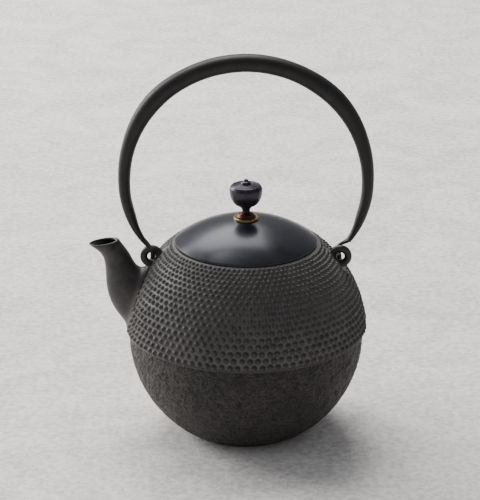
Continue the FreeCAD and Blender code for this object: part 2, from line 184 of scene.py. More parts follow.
class Finishes(bpy.types.PropertyGroup):
    """Colours of the finishes."""
    iron: colour("Iron", "Body of the cast iron", (0.034, 0.031, 0.029))
    # Painted light: this paler colour of the flat gaps between the hobnails stands in for the light that
    # those gaps catch from the windows behind.
    painted_gap_light: colour("Dust", "Greyer haze between the hobnails", (0.092, 0.088, 0.086))
    iron_warm: colour("Iron, worn", "Lighter and warmer bloom on the cast iron", (0.074, 0.067, 0.060))
    spout: colour("Spout iron", "Smoother blue-black iron of the spout and eyes", (0.024, 0.024, 0.027))
    spout_pale: colour("Spout iron, worn", "Paler bloom on the spout", (0.056, 0.051, 0.048))
    bail: colour("Bail iron", "Near-black iron of the bail", (0.013, 0.0125, 0.0125))
    lid: colour("Lid", "Blue-grey patinated copper", (0.011, 0.012, 0.018))
    lid_cloud: colour("Lid, cloudy", "Paler clouds in the lid's patina", (0.024, 0.026, 0.036))
    knob: colour("Knob", "Dark purple-brown bronze", (0.020, 0.018, 0.025))
    copper: colour("Seat cup", "Reddish copper under the knob", (0.120, 0.040, 0.022))
    brass: colour("Seat ring", "Worn brass ring on the lid", (0.330, 0.240, 0.130))
    steel: colour("Basket steel", "Stainless steel of the basket", (0.560, 0.560, 0.570))


class StageSettings(bpy.types.PropertyGroup):
    """Floor, light and camera."""
    floor: colour("Floor", "Pale plaster floor", (0.86, 0.83, 0.81))
    lens: bpy.props.FloatProperty(
        name="Lens", description="Focal length of the camera in millimetres", default=172.8, min=10.0)
    distance: size("Distance", "Camera to the middle of the ball", 1526.0)
    elevation: angle("Elevation", "Camera's height above the horizon, seen from the pot", 22.4)
    aim_up: angle("Aim up", "How far above the middle of the ball the camera points", 1.919)
    aim_side: angle("Aim left", "How far to the left of the ball the camera points", 0.143)


GROUPS = {
    "pot_sizes": PotSizes,
    "hobnail_sizes": HobnailSizes,
    "spout_sizes": SpoutSizes,
    "bail_sizes": BailSizes,
    "lid_sizes": LidSizes,
    "knob_sizes": KnobSizes,
    "basket_sizes": BasketSizes,
    "finishes": Finishes,
    "stage_settings": StageSettings,
}


def settings(group):
    return getattr(bpy.context.scene, group)


def ball():
    """(middle of the ball, radius of its upper half).

    The ridge is the widest place of the casting and the seat of the mouth is its highest, so
    radius^2 = ridge radius^2 + ridge height^2 and middle = seat - sqrt(radius^2 - mouth radius^2).
    """
    pot = settings("pot_sizes")
    radius = math.hypot(ridge_high.x, pot.ridge_height)
    middle = mouth_high.z - math.sqrt(radius ** 2 - pot.mouth_radius ** 2)
    return np.array((0.0, 0.0, middle)), radius


# --------------------------------------------------------------- shapes by numbers
def lattice_noise(points, grain, seed):
    """Smooth random field between -1 and 1.

    Each corner of a cubic lattice has a fixed random value, and between corners the values blend
    with the curve 3t^2 - 2t^3 along each axis.
    """
    cell = points / grain
    base = np.floor(cell).astype(np.int64)
    blend = cell - base
    blend = blend * blend * (3 - 2 * blend)
    total = np.zeros(points.shape[:-1])
    for corner in itertools.product((0, 1), repeat=3):
        place = base + np.array(corner)
        key = place[..., 0] * 73856093 ^ place[..., 1] * 19349663 ^ place[..., 2] * 83492791 ^ seed * 40503
        key = (key ^ (key >> 15)) * 2246822519 & 0xFFFFFFFF
        key = (key ^ (key >> 13)) * 3266489917 & 0xFFFFFFFF
        value = (key >> 8 & 0xFFFF) / 32767.5 - 1
        total += value * np.prod(np.where(corner, blend, 1 - blend), axis=-1)
    return total


def length_of(vectors):
    return np.linalg.norm(vectors, axis=-1, keepdims=True)


def unit(vectors):
    return vectors / np.maximum(length_of(vectors), 1e-12)


def smoothstep(low, high, value):
    t = np.clip((value - low) / (high - low), 0, 1)
    return t * t * (3 - 2 * t)


def spline(known, places, wanted):
    """Natural cubic curve through the known rows.

    The second derivatives solve the usual three-term equations with zero at both ends.
    """
    known = np.asarray(known, float)
    gaps = np.diff(places)
    count = len(places)
    matrix = np.eye(count)
    inner = np.arange(1, count - 1)
    matrix[inner, inner - 1] = gaps[:-1]
    matrix[inner, inner] = 2 * (gaps[:-1] + gaps[1:])
    matrix[inner, inner + 1] = gaps[1:]
    slopes = np.diff(known, axis=0) / gaps[:, None]
    right = np.zeros_like(known)
    right[1:-1] = 6 * np.diff(slopes, axis=0)
    bend = np.linalg.solve(matrix, right)
    index = np.clip(np.searchsorted(places, wanted, side="right") - 1, 0, count - 2)
    gap = gaps[index][:, None]
    after = (wanted - places[index])[:, None]
    before = gap - after
    return ((bend[index] * before ** 3 + bend[index + 1] * after ** 3) / (6 * gap)
            + (known[index] / gap - bend[index] * gap / 6) * before
            + (known[index + 1] / gap - bend[index + 1] * gap / 6) * after)


def chord_places(points):
    """Running distance along a row of points."""
    return np.concatenate([[0.0], np.cumsum(np.linalg.norm(np.diff(points, axis=0), axis=1))])


def ball_outline(middle, radius, start, end, steps, rounding=0.0):
    """Points (distance, height, rounding) of a ball's outline between two distances from the axis
    above its middle, or between two (distance, height) points anywhere on it."""
    angles = [math.atan2(height - middle, distance) for distance, height in (start, end)]
    turn_by = np.linspace(*angles, steps)
    return np.stack([radius * np.cos(turn_by), middle + radius * np.sin(turn_by),
                     np.full(steps, rounding)], axis=1)


def on_ball(middle, radius, distance):
    """(distance, height) of the upper point of a ball at a distance from the axis."""
    return distance, middle + math.sqrt(radius ** 2 - distance ** 2)


def soften(corners, closed=True, steps=6):
    """Outline with round corners.

    Each corner is (distance, height, rounding).  It is replaced by the parabola
    (1-t)^2 A + 2t(1-t) C + t^2 B between the points A and B that lie one rounding before and
    after the corner C, and never past the middle of a side.
    """
    corners = np.asarray(corners, float)
    points, rounding = corners[:, :2], corners[:, 2:]
    before, after = np.roll(points, 1, axis=0), np.roll(points, -1, axis=0)
    if not closed:
        before[0], after[-1] = points[0], points[-1]

    def toward(other):
        return points + unit(other - points) * np.minimum(rounding, length_of(other - points) * 0.48)

    start, end = toward(before)[:, None], toward(after)[:, None]
    t = np.linspace(0, 1, steps)[None, :, None]
    curve = ((1 - t) ** 2 * start + 2 * t * (1 - t) * points[:, None] + t ** 2 * end).reshape(-1, 2)
    following = np.roll(curve, -1, axis=0)
    keep = np.linalg.norm(following - curve, axis=1) > 2e-6
    if not closed:
        keep[-1] = True
    return curve[keep]


def refine(outline, step, closed=True):
    """Outline with points added so that none are further apart than the step."""
    if closed:
        outline = np.concatenate([outline, outline[:1]])
    run = chord_places(outline)
    places = np.unique(np.concatenate([run, np.arange(0, run[-1], step)]))
    places = places[np.concatenate([[True], np.diff(places) > step * 0.05])]
    fine = np.stack([np.interp(places, run, outline[:, axis]) for axis in range(2)], axis=1)
    return fine[:-1] if closed else fine


def turn(outline, around):
    """Ring grid: outline point (d, h) at turn a lies at (d cos a, d sin a, h)."""
    a = np.linspace(0, 2 * math.pi, around, endpoint=False)
    d, h = outline[:, :1], outline[:, 1:]
    return np.stack([d * np.cos(a), d * np.sin(a), h + 0 * a], axis=-1)


def tube(centres, first_axes, second_axes, first_halves, second_halves, around, power=2.0):
    """Ring grid along a path: at turn a the point is centre + first axis * half * c + second axis *
    half * s, with c and s the cosine and sine raised to 2 / power and keeping their signs."""
    a = np.linspace(0, 2 * math.pi, around, endpoint=False)
    c = np.sign(np.cos(a)) * np.abs(np.cos(a)) ** (2 / power)
    s = np.sign(np.sin(a)) * np.abs(np.sin(a)) ** (2 / power)
    first = first_axes[:, None] * (np.asarray(first_halves)[:, None] * c)[..., None]
    second = second_axes[:, None] * (np.asarray(second_halves)[:, None] * s)[..., None]
    return centres[:, None] + first + second


def ring_faces(rows, columns, loop, keep=None):
    """Quads of a grid whose rows are closed rings; with loop the last row joins the first."""
    index = np.arange(rows * columns).reshape(rows, columns)
    one = index if loop else index[:-1]
    other = np.roll(index, -1, axis=0) if loop else index[1:]
    quads = np.stack([one, np.roll(one, -1, axis=1), np.roll(other, -1, axis=1), other], axis=-1)
    if keep is not None:
        quads = quads[keep]
    return quads.reshape(-1, 4)


def volume_of(points, faces):
    """Signed volume: the sum over triangles of a . (b x c) / 6."""
    total = 0.0
    for corners in faces:
        for k in range(1, corners.shape[1] - 1):
            a, b, c = points[corners[:, 0]], points[corners[:, k]], points[corners[:, k + 1]]
            total += np.einsum("ij,ij->", a, np.cross(b, c)) / 6
    return total


def piece_from(name, points, faces, body, nodes, slot, finish, crease=40.0, outward=True):
    """Mesh object from points and face arrays, smooth except along creases, riding its body."""
    points = np.asarray(points, float).reshape(-1, 3)
    if outward and volume_of(points, faces) < 0:
        faces = [corners[:, ::-1] for corners in faces]
    mesh = bpy.data.meshes.new(name)
    mesh.from_pydata(points.tolist(), [], [corner for corners in faces for corner in corners.tolist()])
    mesh.polygons.foreach_set("use_smooth", np.ones(len(mesh.polygons), bool))
    mesh.set_sharp_from_angle(angle=math.radians(crease))
    mesh.update()
    thing = bpy.data.objects.new(name, mesh)
    bpy.context.scene.collection.objects.link(thing)
    mesh.materials.append(finish)
    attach(thing, body)
    if nodes:
        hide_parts(*nodes)
    return thing


def ring_piece(name, grid, ends=False, keep=None, **about):
    """Piece from a ring grid: a closed loop of rows, or rows with both ends closed at a pole."""
    rows, columns = grid.shape[:2]
    faces = [ring_faces(rows, columns, not ends, keep)]
    points = grid.reshape(-1, 3)
    if ends:
        around = np.arange(columns)
        following = np.roll(around, -1)
        last = (rows - 1) * columns
        start, finish_at = len(points), len(points) + 1
        points = np.concatenate([points, [grid[0].mean(axis=0)], [grid[-1].mean(axis=0)]])
        faces.append(np.stack([following, around, np.full(columns, start)], axis=1))
        faces.append(np.stack([around + last, following + last, np.full(columns, finish_at)], axis=1))
    return piece_from(name, points, faces, **about)


def turned_piece(name, corners, around, step, body, nodes, slot, finish, ends=False, crease=40.0, steps=6):
    """Turned piece from its corners; with ends the outline starts and stops on the axis."""
    outline = refine(soften(corners, closed=not ends, steps=steps), step, closed=not ends)
    return ring_piece(name, turn(outline, around), ends=ends, body=body, nodes=nodes, slot=slot,
                      finish=finish, crease=crease)


# ------------------------------------------------------------------------ finishes
class Number:
    """Output of a shader node that can stand in a sum."""

    def __init__(self, tree, socket):
        self.tree = tree
        self.socket = socket

    def join(self, operation, first, second):
        node = self.tree.nodes.new("ShaderNodeMath")
        node.operation = operation
        for place, term in zip(node.inputs, (first, second)):
            if isinstance(term, Number):
                self.tree.links.new(term.socket, place)
            else:
                place.default_value = term
        return Number(self.tree, node.outputs[0])

    def __add__(self, other):
        return self.join("ADD", self, other)

    def __radd__(self, other):
        return self.join("ADD", other, self)

    def __sub__(self, other):
        return self.join("SUBTRACT", self, other)

    def __rsub__(self, other):
        return self.join("SUBTRACT", other, self)

    def __mul__(self, other):
        return self.join("MULTIPLY", self, other)

    def __rmul__(self, other):
        return self.join("MULTIPLY", other, self)

    def __pow__(self, other):
        return self.join("POWER", self, other)


class Finish:
    """A material under construction."""

    def __init__(self, name):
        self.material = bpy.data.materials.new(name)
        self.material.use_nodes = True
        self.tree = self.material.node_tree
        self.tree.nodes.clear()

    def node(self, kind, options, inputs, output=0):
        """Adds a node of a kind, sets its options first and then its sockets."""
        node = self.tree.nodes.new("ShaderNode" + kind)
        for key, value in options.items():
            if key == "stops":
                while len(node.color_ramp.elements) < len(value):
                    node.color_ramp.elements.new(0.5)
                for stop, (place, shade) in zip(node.color_ramp.elements, value):
                    stop.position = place
                    stop.color = (shade, shade, shade, 1)
            else:
                setattr(node, key, value)
        for key, value in inputs.items():
            if isinstance(value, Number):
                self.tree.links.new(value.socket, node.inputs[key])
            else:
                node.inputs[key].default_value = value
        return Number(self.tree, node.outputs[output]) if node.outputs else None

    def place(self):
        """Object coordinates, the same at every pose."""
        return self.node("TexCoord", {}, {}, 3)

    def noise(self, where, grain, detail=2.0, roughness=0.5, distortion=0.0):
        """Noise whose features are about one grain across."""
        return self.node("TexNoise", {}, {"Vector": where, "Scale": 1 / grain, "Detail": detail,
                                          "Roughness": roughness, "Distortion": distortion})

    def cells(self, where, grain, feature="F1", smoothness=0.4):
        inputs = {"Vector": where, "Scale": 1 / grain}
        if feature == "SMOOTH_F1":
            inputs["Smoothness"] = smoothness
        return self.node("TexVoronoi", {"feature": feature}, inputs)

    def ramp(self, value, stops):
        return self.node("ValToRGB", {"stops": stops}, {"Fac": value})

    def blend(self, factor, first, second):
        """Colour that goes from the first to the second."""
        def ends(value):
            return value if isinstance(value, Number) else (*value, 1)
        return self.node("Mix", {"data_type": "RGBA"}, {0: factor, 6: ends(first), 7: ends(second)}, 2)

    def bump(self, height, depth, strength=1.0, under=None):
        inputs = {"Height": height, "Distance": depth, "Strength": strength}
        if under is not None:
            inputs["Normal"] = under
        return self.node("Bump", {}, inputs)

    def surface(self, **inputs):
        """Closes the material with its one shader."""
        names = {key.replace("_", " "): value for key, value in inputs.items()}
        for key, value in names.items():
            if isinstance(value, tuple) and len(value) == 3:
                names[key] = (*value, 1)
        shader = self.node("BsdfPrincipled", {}, names)
        self.node("OutputMaterial", {}, {"Surface": shader})
        return self.material


def shade(tone, share):
    """A colour made darker or paler."""
    return tuple(share * value for value in tone)


def hobnail_iron(name, rough):
    """Brown-black cast iron: sandy grain, brown bloom in patches, and pits; on the upper half the low places
    between the hobnails are painted paler, a painted highlight for the light the flat gaps catch.
    """
    tones = settings("finishes")
    made = Finish(name)
    where = made.place()
    clouds = made.noise(where, 0.030, 3.0, 0.55)
    patches = made.noise(where, 0.0065, 4.0, 0.6)
    sand = made.noise(where, 0.0011, 3.0, 0.6)
    bloom = made.ramp(0.55 * clouds + 0.45 * patches, [(0.36, 0.0), (0.66, 1.0)])
    base = made.blend(bloom, tuple(tones.iron), tuple(tones.iron_warm))
    worms = made.noise(where, 0.0019, 2.0, 0.5, 1.6)
    speck = made.ramp(worms if rough else sand, [(0.41, 0.0), (0.56, 1.0)])
    base = made.blend((0.85 if rough else 0.5) * (1 - speck), base, shade(tones.iron, 0.3))
    # Upper half: the low places near the ball's surface between the nails take the paler painted gap light, a
    # painted highlight, while the nail tops keep the darker iron.
    if not rough:
        middle, radius = ball()
        away = made.node("VectorMath", {"operation": "DISTANCE"}, {0: where, 1: tuple(middle)}, 1)
        low = made.ramp((away - radius) * (1 / MM), [(0.05, 1.0), (0.95, 0.0)])
        base = made.blend(low, base, made.blend(bloom, tuple(tones.painted_gap_light), shade(tones.painted_gap_light, 1.25)))
    pits = made.cells(where, 0.0017, "SMOOTH_F1", 0.7)
    height = 0.35 * sand + 0.45 * worms + 0.2 * pits if rough else sand
    grain = made.bump(height, 0.0036 if rough else 0.00016, 1.0 if rough else 0.6)
    return made.surface(Base_Color=base, Roughness=0.42 + 0.22 * sand, Metallic=0.25, Normal=grain)


def smooth_iron(name, tone, pale, low_rough, high_rough, grain, depth, joins_pot):
    """Closer-grained iron for the spout, the eyes and the bail: soft clouds and a fine skin.  Where it
    joins the pot it takes on the tone of the pot's iron close to the ball."""
    made = Finish(name)
    where = made.place()
    clouds = made.noise(where, 0.012, 4.0, 0.6)
    skin = made.noise(where, grain, 3.0, 0.55)
    wear = made.ramp(0.6 * clouds + 0.4 * made.noise(where, 0.004, 3.0, 0.6), [(0.38, 0.0), (0.66, 1.0)])
    base = made.blend(wear, tone, pale)
    if joins_pot:
        tones = settings("finishes")
        middle, radius = ball()
        away = made.node("VectorMath", {"operation": "DISTANCE"}, {0: where, 1: tuple(middle)}, 1)
        near = made.ramp((away - radius) * 100, [(0.02, 0.8), (0.35, 0.0)])
        base = made.blend(near, base, made.blend(wear, tuple(tones.iron), tuple(tones.iron_warm)))
    lumps = made.bump(clouds, depth * 3, 0.5)
    fine = made.bump(skin, depth, 0.7, lumps)
    rough = low_rough + (high_rough - low_rough) * skin
    return made.surface(Base_Color=base, Roughness=rough, Metallic=0.4, Normal=fine)


def lid_copper():
    """Blue-grey copper under a thin lacquer: faint clouds, and rings left by turning."""
    tones = settings("finishes")
    made = Finish("patinated lid copper")
    where = made.place()
    clouds = made.noise(where, 0.022, 4.0, 0.6, 0.6)
    specks = made.noise(where, 0.0016, 2.0, 0.5)
    base = made.blend(made.ramp(clouds, [(0.38, 0.0), (0.70, 1.0)]), tuple(tones.lid), tuple(tones.lid_cloud))
    fine = made.bump(specks, 0.00004, 0.35)
    return made.surface(Base_Color=base, Metallic=0.55, Roughness=0.27 + 0.12 * clouds, Normal=fine,
                        Coat_Weight=0.15, Coat_Roughness=0.18)


def turned_metal(name, tone, worn, rough, metallic, grain=0.0009):
    """Turned copper, brass or bronze: darker in patches, with fine tool marks in its skin."""
    made = Finish(name)
    where = made.place()
    clouds = made.noise(where, 0.0035, 4.0, 0.6)
    skin = made.noise(where, grain, 2.0, 0.5)
    base = made.blend(made.ramp(clouds, [(0.35, 0.0), (0.68, 1.0)]), tone, worn)
    return made.surface(Base_Color=base, Metallic=metallic, Roughness=rough + 0.12 * skin,
                        Normal=made.bump(skin, 0.00004, 0.5))


def basket_steel():
    """Bright stainless steel with long soft streaks round the basket."""
    tones = settings("finishes")
    made = Finish("basket steel")
    where = made.place()
    streaks = made.node("Mapping", {}, {"Vector": where, "Scale": (1.0, 1.0, 14.0)})
    lines = made.noise(streaks, 0.004, 3.0, 0.6)
    base = made.blend(lines, shade(tones.steel, 0.85), tuple(tones.steel))
    return made.surface(Base_Color=base, Metallic=1.0, Roughness=0.24 + 0.14 * lines,
                        Normal=made.bump(lines, 0.00002, 0.4))


def once(make, *details):
    """The same finish for every piece that asks for it, made the first time."""
    key = (make.__name__, *(str(detail) for detail in details))
    if key not in made_finishes:
        made_finishes[key] = make(*details)
    return made_finishes[key]


made_finishes = {}


def spout_finish():
    tones = settings("finishes")
    return once(smooth_iron, "spout iron", tuple(tones.spout), tuple(tones.spout_pale), 0.36, 0.56,
                0.0013, 0.00012, True)


def bail_finish():
    tones = settings("finishes")
    return once(smooth_iron, "bail iron", tuple(tones.bail), shade(tones.bail, 1.7), 0.44, 0.60,
                0.0018, 0.00005, False)


def steel_finish():
    return once(basket_steel)


# ----------------------------------------------------------------- spout in numbers
# Each station: outer point, inner point (distance beyond the ball's side and height above its
# middle, in millimetres) and half width across, from inside the pot to the lip.
SPOUT_STATIONS = np.array([
    (-11.0, 0.0, -25.0, 41.0, 12.5),
    (1.3, 7.0, -8.5, 43.0, 11.6),
    (8.8, 17.4, -5.4, 45.6, 10.3),
    (12.4, 28.0, -3.8, 48.4, 9.2),
    (13.3, 40.0, -2.0, 52.0, 8.0),
    (14.8, 50.4, 0.6, 55.9, 7.2),
    (18.6, 55.2, 2.6, 58.6, 6.9),
    (23.4, 58.6, 4.0, 60.5, 6.8),
]) * MM


def spout_rows(rows):
    """Smooth rows of the spout's ovals: middle, long axis, half length and half width."""
    middle, radius = ball()
    outer = np.stack([-radius - SPOUT_STATIONS[:, 0], 0 * SPOUT_STATIONS[:, 0],
                      middle[2] + SPOUT_STATIONS[:, 1]], axis=1)
    inner = np.stack([-radius - SPOUT_STATIONS[:, 2], 0 * SPOUT_STATIONS[:, 0],
                      middle[2] + SPOUT_STATIONS[:, 3]], axis=1)
    places = chord_places((outer + inner) / 2)
    wanted = np.linspace(0, places[-1], rows)
    outer, inner = spline(outer, places, wanted), spline(inner, places, wanted)
    wide = spline(SPOUT_STATIONS[:, 4:], places, wanted)[:, 0]
    return (outer + inner) / 2, unit(inner - outer), length_of(inner - outer)[:, 0] / 2, wide


def foot_flare(points, away, reach):
    """Round foot of a casting on the ball: a point h above the ball moves outward by
    reach * (1 - sqrt(1 - (1 - h / reach)^2)), and by the whole reach below the surface."""
    middle, radius = ball()
    height = length_of(points - middle) - radius
    left = np.clip(1 - height / reach, 0, 1)
    return points + away * reach * (1 - np.sqrt(1 - left ** 2))


def spout_grids(rows, around):
    """Outside and passage of the spout, both from inside the pot to the lip.

    The passage is the outside drawn in by a wall that thins toward the lip.  Nothing reaches
    further into the pot than a thin collar on its inner wall.
    """
    sizes, pot = settings("spout_sizes"), settings("pot_sizes")
    centres, along, half, wide = spout_rows(rows)
    across = np.broadcast_to(np.array((0.0, 1.0, 0.0)), centres.shape)
    wall = np.linspace(sizes.wall, sizes.lip, rows)
    outside = tube(centres, along, across, half, wide, around)
    extra = sizes.lip_back / 2 * smoothstep(0.55, 1.0, np.linspace(0, 1, rows))
    passage = tube(centres - along * extra[:, None], along, across, half - wall - extra,
                   wide - wall - 0.3 * extra, around)
    away = unit(outside - centres[:, None])
    outside = foot_flare(outside, away, sizes.foot)
    middle = ball()[0]
    least = pot.lower_radius - pot.wall - 0.3 * MM
    outside, passage = (middle + (grid - middle) * np.maximum(1, least / length_of(grid - middle))
                        for grid in (outside, passage))
    return outside, passage


def spout_reach(points, grid, level):
    """How far each point on the ball lies outside the ring in which a tube crosses a ball's radius.

    The ring is read round a pole through its own middle, so it is one distance for each direction.
    """
    middle = ball()[0]
    height = length_of(grid - middle)[..., 0] - level
    crossing = np.argmax(height > 0, axis=0)
    columns = np.arange(grid.shape[1])
    low, high = height[crossing - 1, columns], height[crossing, columns]
    part = (low / (low - high))[:, None]
    ring = unit(grid[crossing - 1, columns] * (1 - part) + grid[crossing, columns] * part - middle)
    pole = unit(ring.mean(axis=0))
    side = np.array((0.0, 1.0, 0.0))
    up = np.cross(pole, side)

    def polar(directions):
        flat = np.stack([directions @ side, directions @ up], axis=-1)
        return np.arctan2(flat[..., 1], flat[..., 0]), np.linalg.norm(flat, axis=-1), directions @ pole > 0

    ring_turn, ring_distance, _ = polar(ring)
    order = np.argsort(ring_turn)
    point_turn, point_distance, near = polar(unit(points - middle))
    edge = np.interp(point_turn, ring_turn[order], ring_distance[order], period=2 * math.pi)
    return np.where(near, (point_distance - edge) * level, level)


def eye_middle(side=1):
    """Middle of the eye's ring: on the ball's radius at the eye angle, a little above the surface."""
    sizes = settings("spout_sizes")
    middle, radius = ball()
    outward = np.array((side * math.sin(sizes.eye_angle), 0.0, math.cos(sizes.eye_angle)))
    return middle + outward * (radius + sizes.eye_rise), outward


# ------------------------------------------------------------------------ operators
class BuildLowerHalf(bpy.types.Operator):
    """Plain lower half of the casting, with its rough cast skin and the gate mark under the base."""
    bl_idname = "teapot.lower_half"
    bl_label = "Lower half"

    def execute(self, context):
        """Outline turned round the axis.  On the ball the skin is moved along the radius by
        depth * (0.6 * (1 - 3 |n1|) + 0.4 * n2), with n1 and n2 two smooth random fields."""
        pot = settings("pot_sizes")
        middle, _ = ball()
        top = middle[2] + pot.ridge_height
        inner = pot.lower_radius - pot.wall
        base = (pot.base_radius, 0.0)
        outer_top = (math.sqrt(pot.lower_radius ** 2 - pot.ridge_height ** 2), top)
        inner_top = (math.sqrt(inner ** 2 - pot.ridge_height ** 2), top)
        inner_base = (math.sqrt(inner ** 2 - (middle[2] - pot.floor) ** 2), pot.floor)
        gate, groove = pot.gate_radius, 0.5 * MM
        under = soften([
            (0.4 * MM, 0.0, 0), (gate - 0.8 * MM, 0.0, 0.3 * MM), (gate - 0.5 * MM, groove, 0.3 * MM),
            (gate + 0.5 * MM, groove, 0.3 * MM), (gate + 0.8 * MM, 0.0, 0.3 * MM),
            (base[0] - 1.2 * MM, 0.0, 0.5 * MM)], closed=False, steps=4)
        lift = math.asin(base[0] / pot.lower_radius) + 0.012
        start = (pot.lower_radius * math.sin(lift), middle[2] - pot.lower_radius * math.cos(lift))
        outside = ball_outline(middle[2], pot.lower_radius, start, outer_top, 112)[:, :2]
        inside = ball_outline(middle[2], inner, inner_top, inner_base, 30)[:, :2]
        floor = np.stack([np.linspace(inner_base[0] - 3 * MM, 0.4 * MM, 9), np.full(9, pot.floor)], axis=1)
        grid = turn(np.concatenate([refine(under, 4 * MM, closed=False), outside, inside, floor]), 520)
        wormy = lattice_noise(grid, pot.rough_size, 11)
        fine = lattice_noise(grid, pot.rough_size * 0.45, 12)
        broad = lattice_noise(grid, 9 * MM, 13)
        relief = 0.55 * (1 - 3.2 * np.abs(wormy)) + 0.40 * fine + 0.25 * broad
        radial = unit(grid - middle)
        from_middle = length_of(grid - middle)[..., 0]
        skin = from_middle > pot.lower_radius - 0.1 * MM
        fade = smoothstep(0.4 * MM, 4.0 * MM, grid[..., 2]) * smoothstep(0.0, 1.4 * MM, top - grid[..., 2])
        amount = np.where(skin, pot.rough_depth * relief * fade, 0.0)
        inner_skin = (from_middle < inner + 0.1 * MM) & (grid[..., 2] > pot.floor + 0.1 * MM)
        amount = amount + np.where(inner_skin, 0.12 * MM * broad * fade, 0.0)
        ring_piece("pot_lower_shell", grid + radial * amount[..., None], ends=True, body="pot",
                   nodes=["pot_lower_half"], slot="pot_iron",
                   finish=once(hobnail_iron, "rough cast iron", True))
        return {"FINISHED"}


class BuildUpperHalf(bpy.types.Operator):
    """Upper half of the casting under the hobnails, with the ridge, the seat and the mouth."""
    bl_idname = "teapot.upper_half"
    bl_label = "Upper half"

    def execute(self, context):
        """Closed outline turned round the axis.  The faces inside the spout's root are left out,
        and the spout's own wall closes the hole."""
        pot = settings("pot_sizes")
        middle, radius = ball()
        parting = middle[2] + pot.ridge_height
        inner = pot.lower_radius - pot.wall
        seat = mouth_high.z
        ledge = rim_high.z - 0.9 * MM
        bore = rim_inner_edge() + 1.1 * MM
        ledge_edge = rim_high.x + 0.4 * MM
        ring_bottom = seat - 5.0 * MM
        under_ring = ring_bottom - 2.5 * MM
        ridge = (math.sqrt(radius ** 2 - pot.ridge_height ** 2), parting)
        shoulder = on_ball(middle[2], radius, pot.mouth_radius)
        low_step = math.sqrt(pot.lower_radius ** 2 - pot.ridge_height ** 2) - 0.6 * MM
        inner_top = (math.sqrt(inner ** 2 - (under_ring - middle[2]) ** 2), under_ring)
        inner_low = (math.sqrt(inner ** 2 - pot.ridge_height ** 2), parting)
        outside = ball_outline(middle[2], radius, ridge, shoulder, 150)
        low_part = outside[:, 1] < parting + 2.0 * MM
        outside = outside[low_part | (np.arange(150) % 3 == 2) | (np.arange(150) > 147)]
        outside[0, 2], outside[-1, 2] = 0.35 * MM, 0.4 * MM
        inside = ball_outline(middle[2], inner, inner_top, inner_low, 40)
        inside[0, 2] = 0.5 * MM
        corners = np.concatenate([
            [(low_step, parting, 0.05 * MM)],
            outside,
            [(ledge_edge, seat, 0.25 * MM), (ledge_edge, ledge, 0.2 * MM), (bore, ledge, 0.3 * MM),
             (bore, ring_bottom, 0.6 * MM)],
            inside,
        ])
        outline = refine(soften(corners, steps=4), 2.2 * MM)
        grid = turn(outline, 288)
        radial = unit(grid - middle)
        from_middle = length_of(grid - middle)[..., 0]
        skin = (from_middle > radius - 0.05 * MM) & (grid[..., 2] < seat - 0.7 * MM)
        relief = lattice_noise(grid, 3.2 * MM, 21) + 0.6 * lattice_noise(grid, 1.6 * MM, 22)
        lip = np.exp(-((grid[..., 2] - parting - 0.5 * MM) / (0.62 * MM)) ** 4)
        amount = np.where(skin, 0.07 * MM * relief + 0.62 * MM * lip, 0.0)
        grid = grid + radial * amount[..., None]
        centres = (grid + np.roll(grid, -1, axis=0)) / 2
        centres = (centres + np.roll(centres, -1, axis=1)) / 2
        outer_tube, passage = spout_grids(120, 72)
        between = (outer_tube + passage) / 2
        distance = length_of(centres - middle)[..., 0]
        outer_reach = spout_reach(centres, between, radius)
        inner_reach = spout_reach(centres, between, inner + 0.2 * MM)
        hole = ((distance > radius - 0.5 * MM) & (outer_reach < 0)
                | (np.abs(distance - inner) < 0.5 * MM) & (inner_reach < 0))
        ring_piece("pot_upper_shell", grid, keep=~hole, body="pot",
                   nodes=["pot_upper_half", "pot_mouth_ring"], slot="pot_iron",
                   finish=once(hobnail_iron, "hobnail cast iron", False))
        return {"FINISHED"}


def rim_inner_edge():
    """Inner radius of the basket's collar: the perforated wall fits inside it."""
    return mesh_high.x


